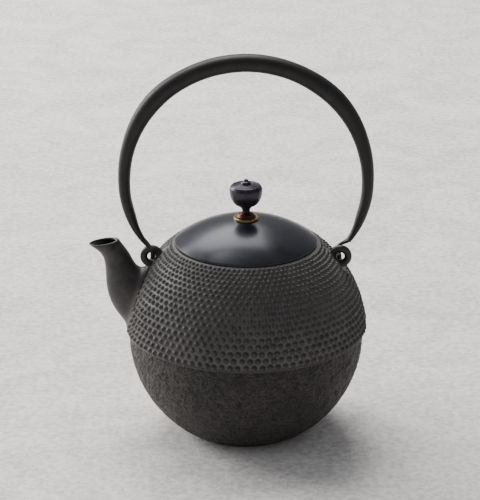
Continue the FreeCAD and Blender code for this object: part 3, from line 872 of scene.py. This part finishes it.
class BuildHobnails(bpy.types.Operator):
    """Rows of small cast domes, staggered, that shrink with the ball toward the mouth."""
    bl_idname = "teapot.hobnails"
    bl_label = "Hobnails"

    def execute(self, context):
        """Row k stands at the latitude whose stretched height ln tan(45 deg + latitude / 2) grows
        evenly, so the pattern keeps its shape.  A nail is a ring grid on a plane that touches the
        ball: ring r of ten points at distance r * foot and height rise * profile(r)."""
        sizes = settings("hobnail_sizes")
        middle, radius = ball()
        stretched = [math.log(math.tan(math.pi / 4 + row / 2)) for row in (sizes.first_row, sizes.last_row)]
        rows = np.arange(sizes.rows)
        latitude = 2 * (np.arctan(np.exp(np.linspace(*stretched, sizes.rows))) - math.pi / 4)
        turn_by = (np.arange(sizes.around)[None] + 0.5 * (rows[:, None] % 2)) * 2 * math.pi / sizes.around
        latitude = np.broadcast_to(latitude[:, None], turn_by.shape)
        chance = np.random.default_rng(7)
        pitch = 2 * math.pi * radius * np.cos(latitude) / sizes.around
        turn_by = turn_by + chance.normal(0, 0.035, turn_by.shape) * 2 * math.pi / sizes.around
        latitude = latitude + chance.normal(0, 0.030, turn_by.shape) * pitch / radius
        out = np.stack([np.cos(latitude) * np.cos(turn_by), np.cos(latitude) * np.sin(turn_by),
                        np.sin(latitude)], axis=-1).reshape(-1, 3)
        pitch = pitch.reshape(-1)
        spots = middle + out * radius

        outer_tube, _ = spout_grids(120, 72)
        clear = spout_reach(spots, outer_tube, radius + 0.4 * MM)
        fade = smoothstep(-0.6 * MM, 3.2 * MM, clear)
        for side in (1, -1):
            eye, outward = eye_middle(side)
            gap = spots - eye
            along = gap @ np.array((outward[2], 0.0, -outward[0]))
            near = np.sqrt((along / (11.0 * MM)) ** 2 + (gap[:, 1] / (5.6 * MM)) ** 2)
            near = np.where(out @ outward > 0, near, 9.0)
            fade = fade * smoothstep(0.92, 1.3, near)
        keep = fade > 0.15
        spots, out, pitch, fade = spots[keep], out[keep], pitch[keep], fade[keep]

        side_axis = unit(np.cross(np.array((0.0, 0.0, 1.0)), out))
        up_axis = np.cross(out, side_axis)
        foot = pitch * sizes.spread * (0.85 + 0.15 * fade) * chance.normal(1, 0.03, len(pitch))
        rise = pitch * sizes.rise * fade * chance.normal(1, 0.06, len(pitch))
        rings = np.array((1.0, 0.80, 0.60, 0.36))
        heights = np.array((-0.08, 0.26, 0.60, 0.88))
        corner = np.linspace(0, 2 * math.pi, 10, endpoint=False)
        flat = (side_axis[:, None] * np.cos(corner)[:, None] + up_axis[:, None] * np.sin(corner)[:, None])
        points = (spots[:, None, None]
                  + flat[:, None] * (foot[:, None] * rings)[..., None, None]
                  + out[:, None, None] * (rise[:, None] * heights)[..., None, None])
        sag = (foot[:, None] * rings) ** 2 / (2 * radius)
        points = points - out[:, None, None] * sag[..., None, None]
        tops = spots + out * rise[:, None]
        count, per_nail = len(spots), 4 * 10
        first = np.arange(count) * per_nail
        quads = first[:, None, None] + ring_faces(4, 10, False)
        last_ring = first[:, None] + 3 * 10 + np.arange(10)
        fans = np.stack([last_ring, np.roll(last_ring, -1, axis=1),
                         np.broadcast_to(count * per_nail + np.arange(count)[:, None], last_ring.shape)],
                        axis=-1)
        everything = np.concatenate([points.reshape(-1, 3), tops])
        piece_from("hobnails", everything, [quads.reshape(-1, 4), fans.reshape(-1, 3)], body="pot",
                   nodes=["pot_upper_half"], slot="pot_iron",
                   finish=once(hobnail_iron, "hobnail cast iron", False),
                   crease=75.0, outward=False)
        return {"FINISHED"}


class BuildSpout(bpy.types.Operator):
    """Short cast spout with a thin lip, open all the way into the pot."""
    bl_idname = "teapot.spout"
    bl_label = "Spout"

    def execute(self, context):
        """One closed skin: up the outside, over the lip in a half round, and back down the passage."""
        outside, passage = spout_grids(110, 72)
        edge, inner_edge = outside[-1], passage[-1]
        rise = unit(np.cross(np.array((0.0, 1.0, 0.0)), edge[36] - edge[0])) * -1
        if (rise @ np.array((-0.2, 0.0, 1.0))) < 0:
            rise = -rise
        t = np.linspace(0, math.pi, 9)[1:-1, None, None]
        mid, half = (edge + inner_edge) / 2, (edge - inner_edge) / 2
        thick = length_of(half)
        lip = mid + half * np.cos(t) + rise * thick * np.sin(t) * 1.1
        skin = lattice_noise(outside, 6.0 * MM, 31) + 0.5 * lattice_noise(outside, 2.5 * MM, 32)
        away = unit(outside - outside.mean(axis=1, keepdims=True))
        outside = outside + away * (0.09 * MM * skin)[..., None]
        grid = np.concatenate([outside, lip, passage[::-1]])
        ring_piece("spout_skin", grid, body="pot", nodes=["spout"], slot="spout_iron", finish=spout_finish())
        return {"FINISHED"}


class BuildEyes(bpy.types.Operator):
    """Two cast eyes that the bail hooks into."""
    bl_idname = "teapot.eyes"
    bl_label = "Eyes for the bail"

    def execute(self, context):
        """Ring: middle + radius * (cos a * outward + sin a * along) with a once round, a bar that is a
        little flat on its sides, and a foot that spreads where it meets the ball."""
        sizes = settings("spout_sizes")
        for side, node, name in ((-1, "lug_spout_side", "eye_spout_side"),
                                 (1, "lug_far_side", "eye_far_side")):
            eye, outward = eye_middle(side)
            along = np.array((outward[2], 0.0, -outward[0]))
            a = np.linspace(0, 2 * math.pi, 96, endpoint=False)[:, None]
            direction = np.cos(a) * outward + np.sin(a) * along
            centres = eye + direction * sizes.eye_radius
            across = np.broadcast_to(np.array((0.0, 1.0, 0.0)), centres.shape)
            bar = np.full(96, sizes.eye_bar)
            grid = tube(centres, direction, across, bar, bar * 0.98, 40, power=2.2)
            away = unit(grid - centres[:, None])
            outer = np.clip((away * direction[:, None]).sum(axis=-1, keepdims=True), 0, 1)
            grid = foot_flare(grid, away * (0.35 + 0.65 * outer), sizes.eye_foot)
            grid = grid + away * (0.09 * MM * lattice_noise(grid, 2.6 * MM, 41))[..., None]
            ring_piece(name, grid, body="pot", nodes=[node], slot="spout_iron", finish=spout_finish())
        return {"FINISHED"}


def pivot_and_ring():
    """Middle of the far hook's ring and its radius.

    The ring's lowest point lies one wire and one gap above the ball inside the eye, and its middle is
    where the eye's bar crosses straight above that point.
    """
    bail, eyes = settings("bail_sizes"), settings("spout_sizes")
    middle, radius = ball()
    low = middle + eye_middle()[1] * (radius + bail.wire + bail.floor_gap)
    eye = eye_middle()[0]
    bar = eye[2] + math.sqrt(eyes.eye_radius ** 2 - (low[0] - eye[0]) ** 2)
    return np.array((low[0], 0.0, swing["pos_m"][2])), bar - low[2]


# Angle from the crown, and how much of the way the thickness and the width have gone to the end.
BAIL_TAPER = ((0, 0.00, 0.00), (25, 0.00, 0.00), (50, 0.00, 0.00), (70, 0.27, 0.04), (88, 0.44, 0.10),
              (100, 0.53, 0.20), (107, 0.62, 0.42))
BAIL_SHOULDER = (9.5, 11.7, 0.86)
BAIL_END = (6.0, 5.9, 1.0)


def bail_path():
    """Stations of the bail from the spout side over the crown to the far side: point, thickness,
    width.  On the round part the middle line keeps the inside on one circle."""
    bail = settings("bail_sizes")
    pivot, _ = pivot_and_ring()

    def section(thin, wide):
        return (bail.crown_thickness + (bail.end_thickness - bail.crown_thickness) * thin,
                bail.crown_width + (bail.end_width - bail.crown_width) * wide)

    half = []
    for degrees, thin, wide in BAIL_TAPER:
        thickness, width = section(thin, wide)
        reach = pivot[0] + bail.bulge + thickness / 2
        a = math.radians(degrees)
        half.append((reach * math.sin(a), pivot[2] + bail.rise + reach * math.cos(a), thickness, width))
    for x, z, part in (BAIL_SHOULDER, BAIL_END):
        half.append((pivot[0] + x * MM, pivot[2] + z * MM, *section(part, part)))
    half = np.array(half)
    return np.concatenate([half[:0:-1] * (-1, 1, 1, 1), half])


def bail_rows(rows):
    """Smooth rows of the bail and the direction of its path in each."""
    stations = bail_path()
    places = chord_places(stations[:, :2])
    wanted = np.linspace(0, places[-1], rows)
    line = spline(stations, places, wanted)
    centres = np.stack([line[:, 0], 0 * line[:, 0], line[:, 1]], axis=1)
    ahead = spline(stations, places, np.minimum(wanted + 1e-5, places[-1]))
    behind = spline(stations, places, np.maximum(wanted - 1e-5, 0))
    step = ahead[:, :2] - behind[:, :2]
    direction = unit(np.stack([step[:, 0], 0 * step[:, 0], step[:, 1]], axis=1))
    return centres, direction, line[:, 2], line[:, 3]


class BuildBail(bpy.types.Operator):
    """Tall forged bail, thick at its crown and drawn out thin toward its hooks."""
    bl_idname = "teapot.bail"
    bl_label = "Bail"

    def execute(self, context):
        """Oval carried along the path; the oval is a little square (power 2.25) and its skin is uneven."""
        bail = settings("bail_sizes")
        centres, direction, thickness, width = bail_rows(300)
        thin = unit(np.cross(np.array((0.0, 1.0, 0.0)), direction))
        across = np.cross(direction, thin)
        grid = tube(centres, thin, across, thickness / 2, width / 2, 56, power=2.25)
        uneven = lattice_noise(grid, 14 * MM, 51) + 0.4 * lattice_noise(grid, 5 * MM, 52)
        ends = np.minimum(np.arange(300), 299 - np.arange(300)) / 20
        depth = bail.hammer * smoothstep(0, 1, ends)[:, None] * uneven
        grid = grid + unit(grid - centres[:, None]) * depth[..., None]
        ring_piece("bail_arch", grid, ends=True, body="bail", nodes=["bail_handle"], slot="bail_iron",
                   finish=bail_finish())
        return {"FINISHED"}


class BuildHooks(bpy.types.Operator):
    """The bail's two hooks: the far one comes down behind its eye, the other in front, and each passes
    through the eye and ends just beyond it."""
    bl_idname = "teapot.hooks"
    bl_label = "Hooks"

    def execute(self, context):
        """Path: the bail's end, a bend, the ring pivot + R (sin a, cos a) from 100 to 230 degrees in the
        plane across the swing axis, then the tip straight on.  Each row of the grid is a point of a
        smooth curve through the same corner of every oval, which turns from flat to round."""
        bail = settings("bail_sizes")
        pivot, ring = pivot_and_ring()
        centres, direction = bail_rows(300)[:2]
        end, end_way = centres[-1], direction[-1]
        a = np.radians(np.arange(100, 231, 10))[:, None]
        up, depth_axis, inward = np.eye(3)[2], np.eye(3)[1], -np.eye(3)[0]
        loop = pivot + ring * (np.sin(a) * depth_axis + np.cos(a) * up)
        round_ways = np.cos(a) * depth_axis - np.sin(a) * up
        leave_way, last_way = round_ways[0], round_ways[-1]
        bend = (end + loop[0]) / 2 + (end_way - leave_way) * np.linalg.norm(end - loop[0]) / 8
        tips = loop[-1] + last_way * (bail.tip * np.array((0.5, 0.85, 1.0)))[:, None]
        path = np.concatenate([[end], [bend], loop, tips])
        ways = np.concatenate([[end_way], [unit(end_way + leave_way)], round_ways, np.tile(last_way, (3, 1))])
        thin_axes = np.concatenate([unit(np.cross(depth_axis, ways[:2])),
                                    np.tile(inward, (len(path) - 2, 1))])
        wire = 2 * bail.wire
        tail = [wire] * (len(loop) + 1) + [wire * 0.95, wire * 0.62]
        thin = np.array([bail.end_thickness, (bail.end_thickness + wire) / 2] + tail)
        wide = np.array([bail.end_width, (bail.end_width + wire) / 2] + tail)
        rows, around = 120, 28
        ovals = tube(path, thin_axes, np.cross(ways, thin_axes), thin / 2, wide / 2, around)
        places = chord_places(path)
        wanted = np.linspace(0, places[-1], rows)
        grid = spline(ovals.reshape(len(path), -1), places, wanted).reshape(rows, around, 3)
        cap = np.arange(1, 8)[:, None, None] / 7
        shrink = np.sqrt(np.clip(1 - (cap * 0.95) ** 2, 0.02, 1))
        rounded = path[-1] + (grid[-1] - path[-1]) * shrink + last_way * cap * thin[-1] / 2
        grid = np.concatenate([grid, rounded])
        for turned_by, node, name in ((1, "bail_hook_far_side", "hook_far_side"),
                                      (-1, "bail_hook_spout_side", "hook_spout_side")):
            ring_piece(name, grid * (turned_by, turned_by, 1), ends=True, body="bail", nodes=[node],
                       slot="bail_iron", finish=bail_finish())
        return {"FINISHED"}


class BuildLid(bpy.types.Operator):
    """Domed lid of one thickness, with a flat band under its rim, and the skirt under it."""
    bl_idname = "teapot.lid"
    bl_label = "Lid"

    def execute(self, context):
        """Two ball outlines with one middle, joined by the rim, turned round the axis."""
        sizes = settings("lid_sizes")
        middle, radius = ball()
        outer = radius + sizes.proud
        inner = outer - sizes.thickness
        band = lid_high.x - sizes.edge_band
        rim = on_ball(middle[2], outer, lid_high.x)
        dome = ball_outline(middle[2], outer, on_ball(middle[2], outer, sizes.hole), rim, 90)
        under = ball_outline(middle[2], inner, on_ball(middle[2], inner, band),
                             on_ball(middle[2], inner, sizes.hole), 60)
        dome[0, 2], dome[-1, 2], under[0, 2] = 0.1 * MM, 0.45 * MM, 0.3 * MM
        edge = [(lid_high.x, lid_low.z, 0.35 * MM), (band, lid_low.z, 0.25 * MM)]
        corners = np.concatenate([dome, edge, under])
        turned_piece("lid_shell", corners, 240, 1.2 * MM, "lid", ["lid_dome"], "lid_copper", once(lid_copper))
        skirt = skirt_high.x - 1.2 * MM
        rise = np.array((on_ball(middle[2], inner, skirt)[1], on_ball(middle[2], inner, skirt_high.x)[1]))
        rise = rise + 0.05 * MM
        corners = [(skirt_high.x, rise[1], 0.05 * MM), (skirt_high.x, skirt_low.z, 0.35 * MM),
                   (skirt, skirt_low.z, 0.35 * MM), (skirt, rise[0], 0.05 * MM)]
        turned_piece("lid_skirt_ring", corners, 180, 1.5 * MM, "lid", ["lid_skirt"], "lid_copper",
                     once(lid_copper))
        return {"FINISHED"}


class BuildKnob(bpy.types.Operator):
    """Turned bowl on a flared neck, with rings and a button on its flat top."""
    bl_idname = "teapot.knob"
    bl_label = "Knob"

    def execute(self, context):
        """Outline of round corners turned round the axis; the bowl's side is a curve through the
        collar, three points 42%, 80% and 97% of the way outward, the widest place and the rim."""
        sizes = settings("knob_sizes")
        foot = knob_low.z
        neck_top = foot + sizes.neck_height
        collar = neck_top + sizes.flare_height
        rim = collar + sizes.bowl_height
        belly = rim - 3.2 * MM
        grow, climb = sizes.bowl - sizes.collar, belly - collar
        side = np.array([(sizes.collar, collar), (sizes.collar + 0.42 * grow, collar + 0.115 * climb),
                         (sizes.collar + 0.80 * grow, collar + 0.42 * climb),
                         (sizes.collar + 0.97 * grow, collar + 0.76 * climb), (sizes.bowl, belly),
                         (sizes.bowl - 0.12 * MM, belly + 1.4 * MM),
                         (sizes.rim + 0.35 * MM, rim - 0.45 * MM)])
        places = chord_places(side)
        side = spline(side, places, np.linspace(0, places[-1], 40))
        side = np.column_stack([side, np.zeros(len(side))])
        side[0, 2] = 0.25 * MM
        button = rim + 0.8 * MM
        top = button + sizes.button_height
        slope = 0.8 * MM / (sizes.rim - sizes.button)

        def on_top(distance, lift=0.0):
            return rim + (sizes.rim - distance) * slope + lift

        ridges = []
        for at, high in ((8.1, 0.30), (6.5, 0.28), (4.9, 0.24)):
            for offset, lift, bend in ((0.45, 0.0, 0.15), (0.15, high, 0.18),
                                       (-0.25, high, 0.18), (-0.55, 0.0, 0.15)):
                distance = (at + offset) * MM
                ridges.append((distance, on_top(distance, lift * MM), bend * MM))
        corners = np.concatenate([
            [(sizes.rivet, foot, 0.05 * MM), (sizes.neck + 0.3 * MM, foot, 0.15 * MM),
             (sizes.neck + 0.3 * MM, foot + 0.35 * MM, 0.15 * MM), (sizes.neck, neck_top, 0.5 * MM),
             (sizes.neck + 0.25 * MM, (neck_top + collar) / 2, 0.8 * MM),
             (sizes.collar + 0.35 * MM, collar - 0.55 * MM, 0.25 * MM),
             (sizes.collar + 0.35 * MM, collar - 0.15 * MM, 0.2 * MM)],
            side,
            [(sizes.rim, rim, 0.3 * MM)],
            ridges,
            [(sizes.button, on_top(sizes.button), 0.35 * MM),
             (sizes.button * 0.98, button + 0.8 * MM, 0.6 * MM),
             (sizes.button * 0.80, button + 1.55 * MM, 0.5 * MM), (sizes.rivet, top, 0.1 * MM)],
        ])
        tones = settings("finishes")
        finish = once(turned_metal, "knob bronze", tuple(tones.knob), shade(tones.knob, 1.9), 0.26, 0.6)
        turned_piece("knob_bowl", corners, 128, 0.5 * MM, "knob", ["knob"], "knob_bronze", finish, crease=50)

        nub = rivet_high.z
        corners = [(0.05 * MM, nub, 0), (sizes.rivet * 0.75, nub - 0.12 * MM, 0.5 * MM),
                   (sizes.rivet, nub - 0.75 * MM, 0.4 * MM), (sizes.rivet, washer_low.z, 0.05 * MM),
                   (2.9 * MM, washer_low.z, 0.15 * MM), (2.3 * MM, rivet_low.z + 0.3 * MM, 0.4 * MM),
                   (1.2 * MM, rivet_low.z, 0.3 * MM), (0.05 * MM, rivet_low.z, 0)]
        turned_piece("knob_rivet_pin", corners, 64, 0.5 * MM, "knob", ["knob_rivet"], "knob_bronze", finish,
                     ends=True)
        return {"FINISHED"}


class BuildKnobSeat(bpy.types.Operator):
    """Brass ring and copper cup under the knob, and the washer under the lid."""
    bl_idname = "teapot.knob_seat"
    bl_label = "Knob seat"

    def execute(self, context):
        """Three turned rings round the rivet."""
        sizes, lid, tones = settings("knob_sizes"), settings("lid_sizes"), settings("finishes")
        middle, radius = ball()
        over = radius + lid.proud + 0.1 * MM
        top, edge = seat_ring_high.z, seat_ring_high.x
        brass = once(turned_metal, "seat brass", tuple(tones.brass), shade(tones.brass, 0.45), 0.30, 0.9)
        copper = once(turned_metal, "seat copper", tuple(tones.copper), shade(tones.copper, 0.5), 0.30, 0.8)
        dish = ball_outline(middle[2], over, on_ball(middle[2], over, sizes.rivet),
                            on_ball(middle[2], over, edge), 12)
        corners = np.concatenate([dish, [
            (edge, top - 0.25 * MM, 0.3 * MM), (edge - 0.9 * MM, top, 0.35 * MM),
            (edge - 1.4 * MM, top - 0.22 * MM, 0.15 * MM),
            (sizes.rivet, top, 0.1 * MM)]])
        turned_piece("seat_ring", corners, 96, 0.5 * MM, "knob", ["knob_seat_ring"], "seat_brass", brass)
        foot, high, wide = seat_cup_low.z, seat_cup_high.z, seat_cup_high.x
        corners = [(sizes.rivet, foot, 0.05 * MM), (wide, foot, 0.25 * MM),
                   (wide, foot + 0.55 * MM, 0.25 * MM),
                   (wide - 0.7 * MM, foot + 0.9 * MM, 0.3 * MM), (wide - 1.3 * MM, foot + 1.9 * MM, 0.9 * MM),
                   (sizes.neck + 0.9 * MM, high - 0.45 * MM, 0.7 * MM), (sizes.neck, high, 0.15 * MM),
                   (sizes.rivet, high, 0.05 * MM)]
        turned_piece("seat_cup", corners, 96, 0.5 * MM, "knob", ["knob_seat_cup"], "seat_copper", copper)
        corners = [(sizes.rivet, washer_low.z, 0.05 * MM), (washer_high.x, washer_low.z, 0.3 * MM),
                   (washer_high.x, washer_high.z, 0.2 * MM), (sizes.rivet, washer_high.z, 0.05 * MM)]
        turned_piece("washer_under_lid", corners, 72, 0.6 * MM, "knob", ["rivet_washer"], "seat_brass", brass)
        return {"FINISHED"}


def perforated(columns, hole, wanted, wrap):
    """Flat sheet of square cells, each with an eight-sided hole, as lattice points and faces.

    Points are counted in half cells.  Each wanted cell has eight quads between the eight lattice points
    on its edge and the eight points of its hole, at the middle + hole * (cos, sin).
    """
    edge = np.array([(2, 1), (2, 2), (1, 2), (0, 2), (0, 1), (0, 0), (1, 0), (2, 0)])
    across = 2 * columns if wrap else 2 * columns + 1
    cell = np.stack(np.nonzero(wanted), axis=1)
    corner = 2 * cell[:, None] + edge
    lattice = (corner[..., 0] % across) + corner[..., 1] * across
    a = np.radians(np.arange(0, 360, 45))
    ring = cell[:, None] + 0.5 + hole * np.stack([np.cos(a), np.sin(a)], axis=1)
    used, numbers = np.unique(lattice, return_inverse=True)
    numbers = numbers.reshape(lattice.shape)
    points = np.concatenate([np.stack([used % across, used // across], axis=1) / 2, ring.reshape(-1, 2)])
    inner = len(used) + np.arange(len(cell) * 8).reshape(-1, 8)
    quads = np.stack([numbers, np.roll(numbers, -1, axis=1), np.roll(inner, -1, axis=1), inner], axis=-1)
    return points, quads.reshape(-1, 4), used


def thicken(thing, thickness):
    """Gives an open sheet its thickness, half to each side."""
    solid = thing.modifiers.new("sheet", "SOLIDIFY")
    solid.thickness = thickness
    solid.offset = 0.0
    solid.use_even_offset = True


class BuildBasket(bpy.types.Operator):
    """Infuser basket: pressed rim, perforated wall and floor, and the hoop at its foot."""
    bl_idname = "teapot.basket"
    bl_label = "Infuser basket"

    def execute(self, context):
        """Wall: a perforated sheet rolled so that column c turns by 2 pi c / columns.  Floor: the cells of
        a square sheet whose middles lie inside the border, and a plain border ring over their edge."""
        sizes = settings("basket_sizes")
        steel = steel_finish()
        collar = mesh_high.x
        outer = hoop_high.x
        corners = [
            (collar, rim_low.z, 0.1 * MM), (collar + 0.7 * MM, rim_low.z, 0.25 * MM),
            (collar + 0.7 * MM, rim_high.z - 0.8 * MM, 0.5 * MM),
            (rim_high.x, rim_high.z - 0.8 * MM, 0.35 * MM),
            (rim_high.x, rim_high.z, 0.35 * MM), (collar + 0.2 * MM, rim_high.z, 0.8 * MM),
            (collar, rim_high.z - 1.0 * MM, 0.5 * MM)]
        turned_piece("basket_rim", corners, 160, 1.2 * MM, "infuser", ["infuser_rim"], "infuser_steel", steel)

        middle_radius = mesh_high.x - sizes.sheet / 2
        low, high = hoop_high.z, rim_low.z
        columns = round(2 * math.pi * middle_radius / sizes.hole_pitch)
        rows = round((high - low) / sizes.hole_pitch)
        every_cell = np.ones((columns, rows), bool)
        points, quads, used = perforated(columns, sizes.hole_share, every_cell, True)
        count = len(points)
        seam = np.arange(2 * columns)
        foot_row = np.searchsorted(used, seam)
        head_row = np.searchsorted(used, seam + 2 * rows * 2 * columns)
        heights = low + points[:, 1] * (high - low) / rows
        bands = []
        extra = []
        for row, height in ((foot_row, mesh_low.z), (head_row, mesh_high.z)):
            start = count + len(extra) * 2 * columns
            extra.append(np.full(2 * columns, height))
            band = start + seam
            bands.append(np.stack([row, np.roll(row, -1), np.roll(band, -1), band], axis=1))
        bands[0] = bands[0][:, ::-1]
        turn_by = np.concatenate([points[:, 0], seam / 2, seam / 2]) * 2 * math.pi / columns
        heights = np.concatenate([heights, *extra])
        rolled = np.stack([middle_radius * np.cos(turn_by), middle_radius * np.sin(turn_by), heights], axis=1)
        wall = piece_from("basket_wall", rolled, [quads, *bands], body="infuser", nodes=["infuser_wall"],
                          slot="infuser_mesh", finish=steel, outward=False, crease=60)
        thicken(wall, sizes.sheet)

        reach = sieve_high.x
        cells = 2 * math.ceil(reach / sizes.hole_pitch)
        place = (np.arange(cells) + 0.5 - cells / 2) * sizes.hole_pitch
        inside = np.hypot(place[:, None], place[None]) < reach - sizes.border + 0.4 * sizes.hole_pitch
        points, quads = perforated(cells, sizes.hole_share, inside, False)[:2]
        flat = (points - cells / 2) * sizes.hole_pitch
        level = (sieve_low.z + sieve_high.z) / 2
        sheet = np.column_stack([flat, np.full(len(flat), level)])
        floor = piece_from("basket_floor", sheet, [quads], body="infuser", nodes=["infuser_floor"],
                           slot="infuser_mesh", finish=steel, outward=False, crease=60)
        thicken(floor, sizes.sheet)
        corners = [(reach - sizes.border, sieve_low.z, 0.15 * MM), (reach, sieve_low.z, 0.1 * MM),
                   (reach, sieve_high.z, 0.1 * MM), (reach - sizes.border, sieve_high.z, 0.15 * MM)]
        turned_piece("basket_floor_border", corners, 144, 1.5 * MM, "infuser", ["infuser_floor"],
                     "infuser_mesh", steel)
        corners = [(outer - 0.6 * MM, hoop_low.z, 0.1 * MM), (outer, hoop_low.z, 0.25 * MM),
                   (outer, hoop_high.z, 0.25 * MM), (outer - 0.6 * MM, hoop_high.z, 0.1 * MM)]
        turned_piece("basket_hoop", corners, 144, 1.5 * MM, "infuser", ["infuser_hoop"],
                     "infuser_steel", steel)
        return {"FINISHED"}


class BuildStage(bpy.types.Operator):
    """Pale plaster floor, soft light from the back left, and the camera."""
    bl_idname = "teapot.stage"
    bl_label = "Stage"

    def execute(self, context):
        self.lay_floor()
        self.light()
        self.aim_camera()
        return {"FINISHED"}

    def lay_floor(self):
        """Level square sheet."""
        stage = settings("stage_settings")
        reach = 9.0
        mesh = bpy.data.meshes.new("floor")
        corners = [(-reach, -reach, 0), (reach, -reach, 0), (reach, reach, 0), (-reach, reach, 0)]
        mesh.from_pydata(corners, [], [(0, 1, 2, 3)])
        floor = bpy.data.objects.new("floor", mesh)
        bpy.context.scene.collection.objects.link(floor)
        made = Finish("plaster floor")
        where = made.place()
        swirl = made.noise(where, 0.055, 5.0, 0.62, 1.2)
        fine = made.noise(where, 0.0045, 4.0, 0.7)
        tone = made.ramp(0.35 * swirl + 0.65 * fine, [(0.40, 0.0), (0.58, 1.0)])
        pale = tuple(stage.floor)
        base = made.blend(tone, shade(pale, 0.70), shade(pale, 1.06))
        relief = made.bump(0.35 * swirl + 0.65 * fine, 0.0022, 0.5)
        mesh.materials.append(made.surface(Base_Color=base, Roughness=0.75, Normal=relief))

    def light(self):
        """Two large soft windows behind, one low and one high, a weak fill on the left, and a pale sky."""
        for name, place, aim, side, power, tint in (
                ("window", (-2.1, 1.2, 1.1), (0, 0, 0.1), 1.4, 84, (1.0, 0.985, 0.97)),
                ("high window", (-0.5, 1.7, 2.7), (0, 0.1, 0.0), 2.2, 125, (1.0, 0.985, 0.97)),
                ("left fill", (-2.2, -0.3, 0.7), (0, 0, 0.1), 0.8, 5, (0.90, 0.94, 1.0))):
            lamp = bpy.data.lights.new(name, "AREA")
            lamp.shape = "SQUARE"
            lamp.size = side
            lamp.energy = power
            lamp.color = tint
            holder = bpy.data.objects.new(name, lamp)
            bpy.context.scene.collection.objects.link(holder)
            holder.location = place
            holder.rotation_euler = (Vector(aim) - Vector(place)).to_track_quat("-Z", "Y").to_euler()
        world = bpy.data.worlds.new("pale room")
        world.use_nodes = True
        sky = world.node_tree.nodes["Background"]
        sky.inputs["Color"].default_value = (0.95, 0.96, 1.0, 1)
        sky.inputs["Strength"].default_value = 0.33
        bpy.context.scene.world = world

    def aim_camera(self):
        """Looks at the middle of the ball, then tips up and turns left by the two aim angles."""
        stage = settings("stage_settings")
        middle = Vector(ball()[0])
        away = Vector((0, -math.cos(stage.elevation), math.sin(stage.elevation)))
        lens = bpy.data.cameras.new("camera")
        lens.sensor_width = 36.0
        lens.lens = stage.lens
        lens.clip_end = 60.0
        camera = bpy.data.objects.new("camera", lens)
        bpy.context.scene.collection.objects.link(camera)
        look = (-away).to_track_quat("-Z", "Y").to_matrix().to_4x4()
        tip = Matrix.Rotation(stage.aim_up, 4, "X") @ Matrix.Rotation(stage.aim_side, 4, "Y")
        camera.matrix_world = Matrix.Translation(middle + away * stage.distance) @ look @ tip
        bpy.context.scene.camera = camera


OPERATORS = (BuildLowerHalf, BuildUpperHalf, BuildHobnails, BuildSpout, BuildEyes, BuildBail, BuildHooks,
             BuildLid, BuildKnob, BuildKnobSeat, BuildBasket, BuildStage)


class TeapotPanel(bpy.types.Panel):
    """Lists the pieces of the teapot."""
    bl_idname = "VIEW3D_PT_teapot"
    bl_label = "Hobnail teapot"
    bl_space_type = "VIEW_3D"
    bl_region_type = "UI"
    bl_category = "Teapot"

    def draw(self, context):
        for operator in OPERATORS:
            self.layout.operator(operator.bl_idname)
        for group in GROUPS:
            box = self.layout.box()
            box.label(text=GROUPS[group].__doc__)
            for name in GROUPS[group].__annotations__:
                box.prop(getattr(context.scene, group), name)


def register():
    for group, kind in GROUPS.items():
        bpy.utils.register_class(kind)
        setattr(bpy.types.Scene, group, bpy.props.PointerProperty(type=kind))
    for kind in (*OPERATORS, TeapotPanel):
        bpy.utils.register_class(kind)


def unregister():
    for kind in (TeapotPanel, *reversed(OPERATORS)):
        bpy.utils.unregister_class(kind)
    for group, kind in GROUPS.items():
        delattr(bpy.types.Scene, group)
        bpy.utils.unregister_class(kind)


def main():
    register()
    teapot = bpy.ops.teapot
    for step in (teapot.lower_half, teapot.upper_half, teapot.hobnails, teapot.spout, teapot.eyes,
                 teapot.bail, teapot.hooks, teapot.lid, teapot.knob, teapot.knob_seat, teapot.basket,
                 teapot.stage):
        step()


if __name__ == "__main__":
    main()
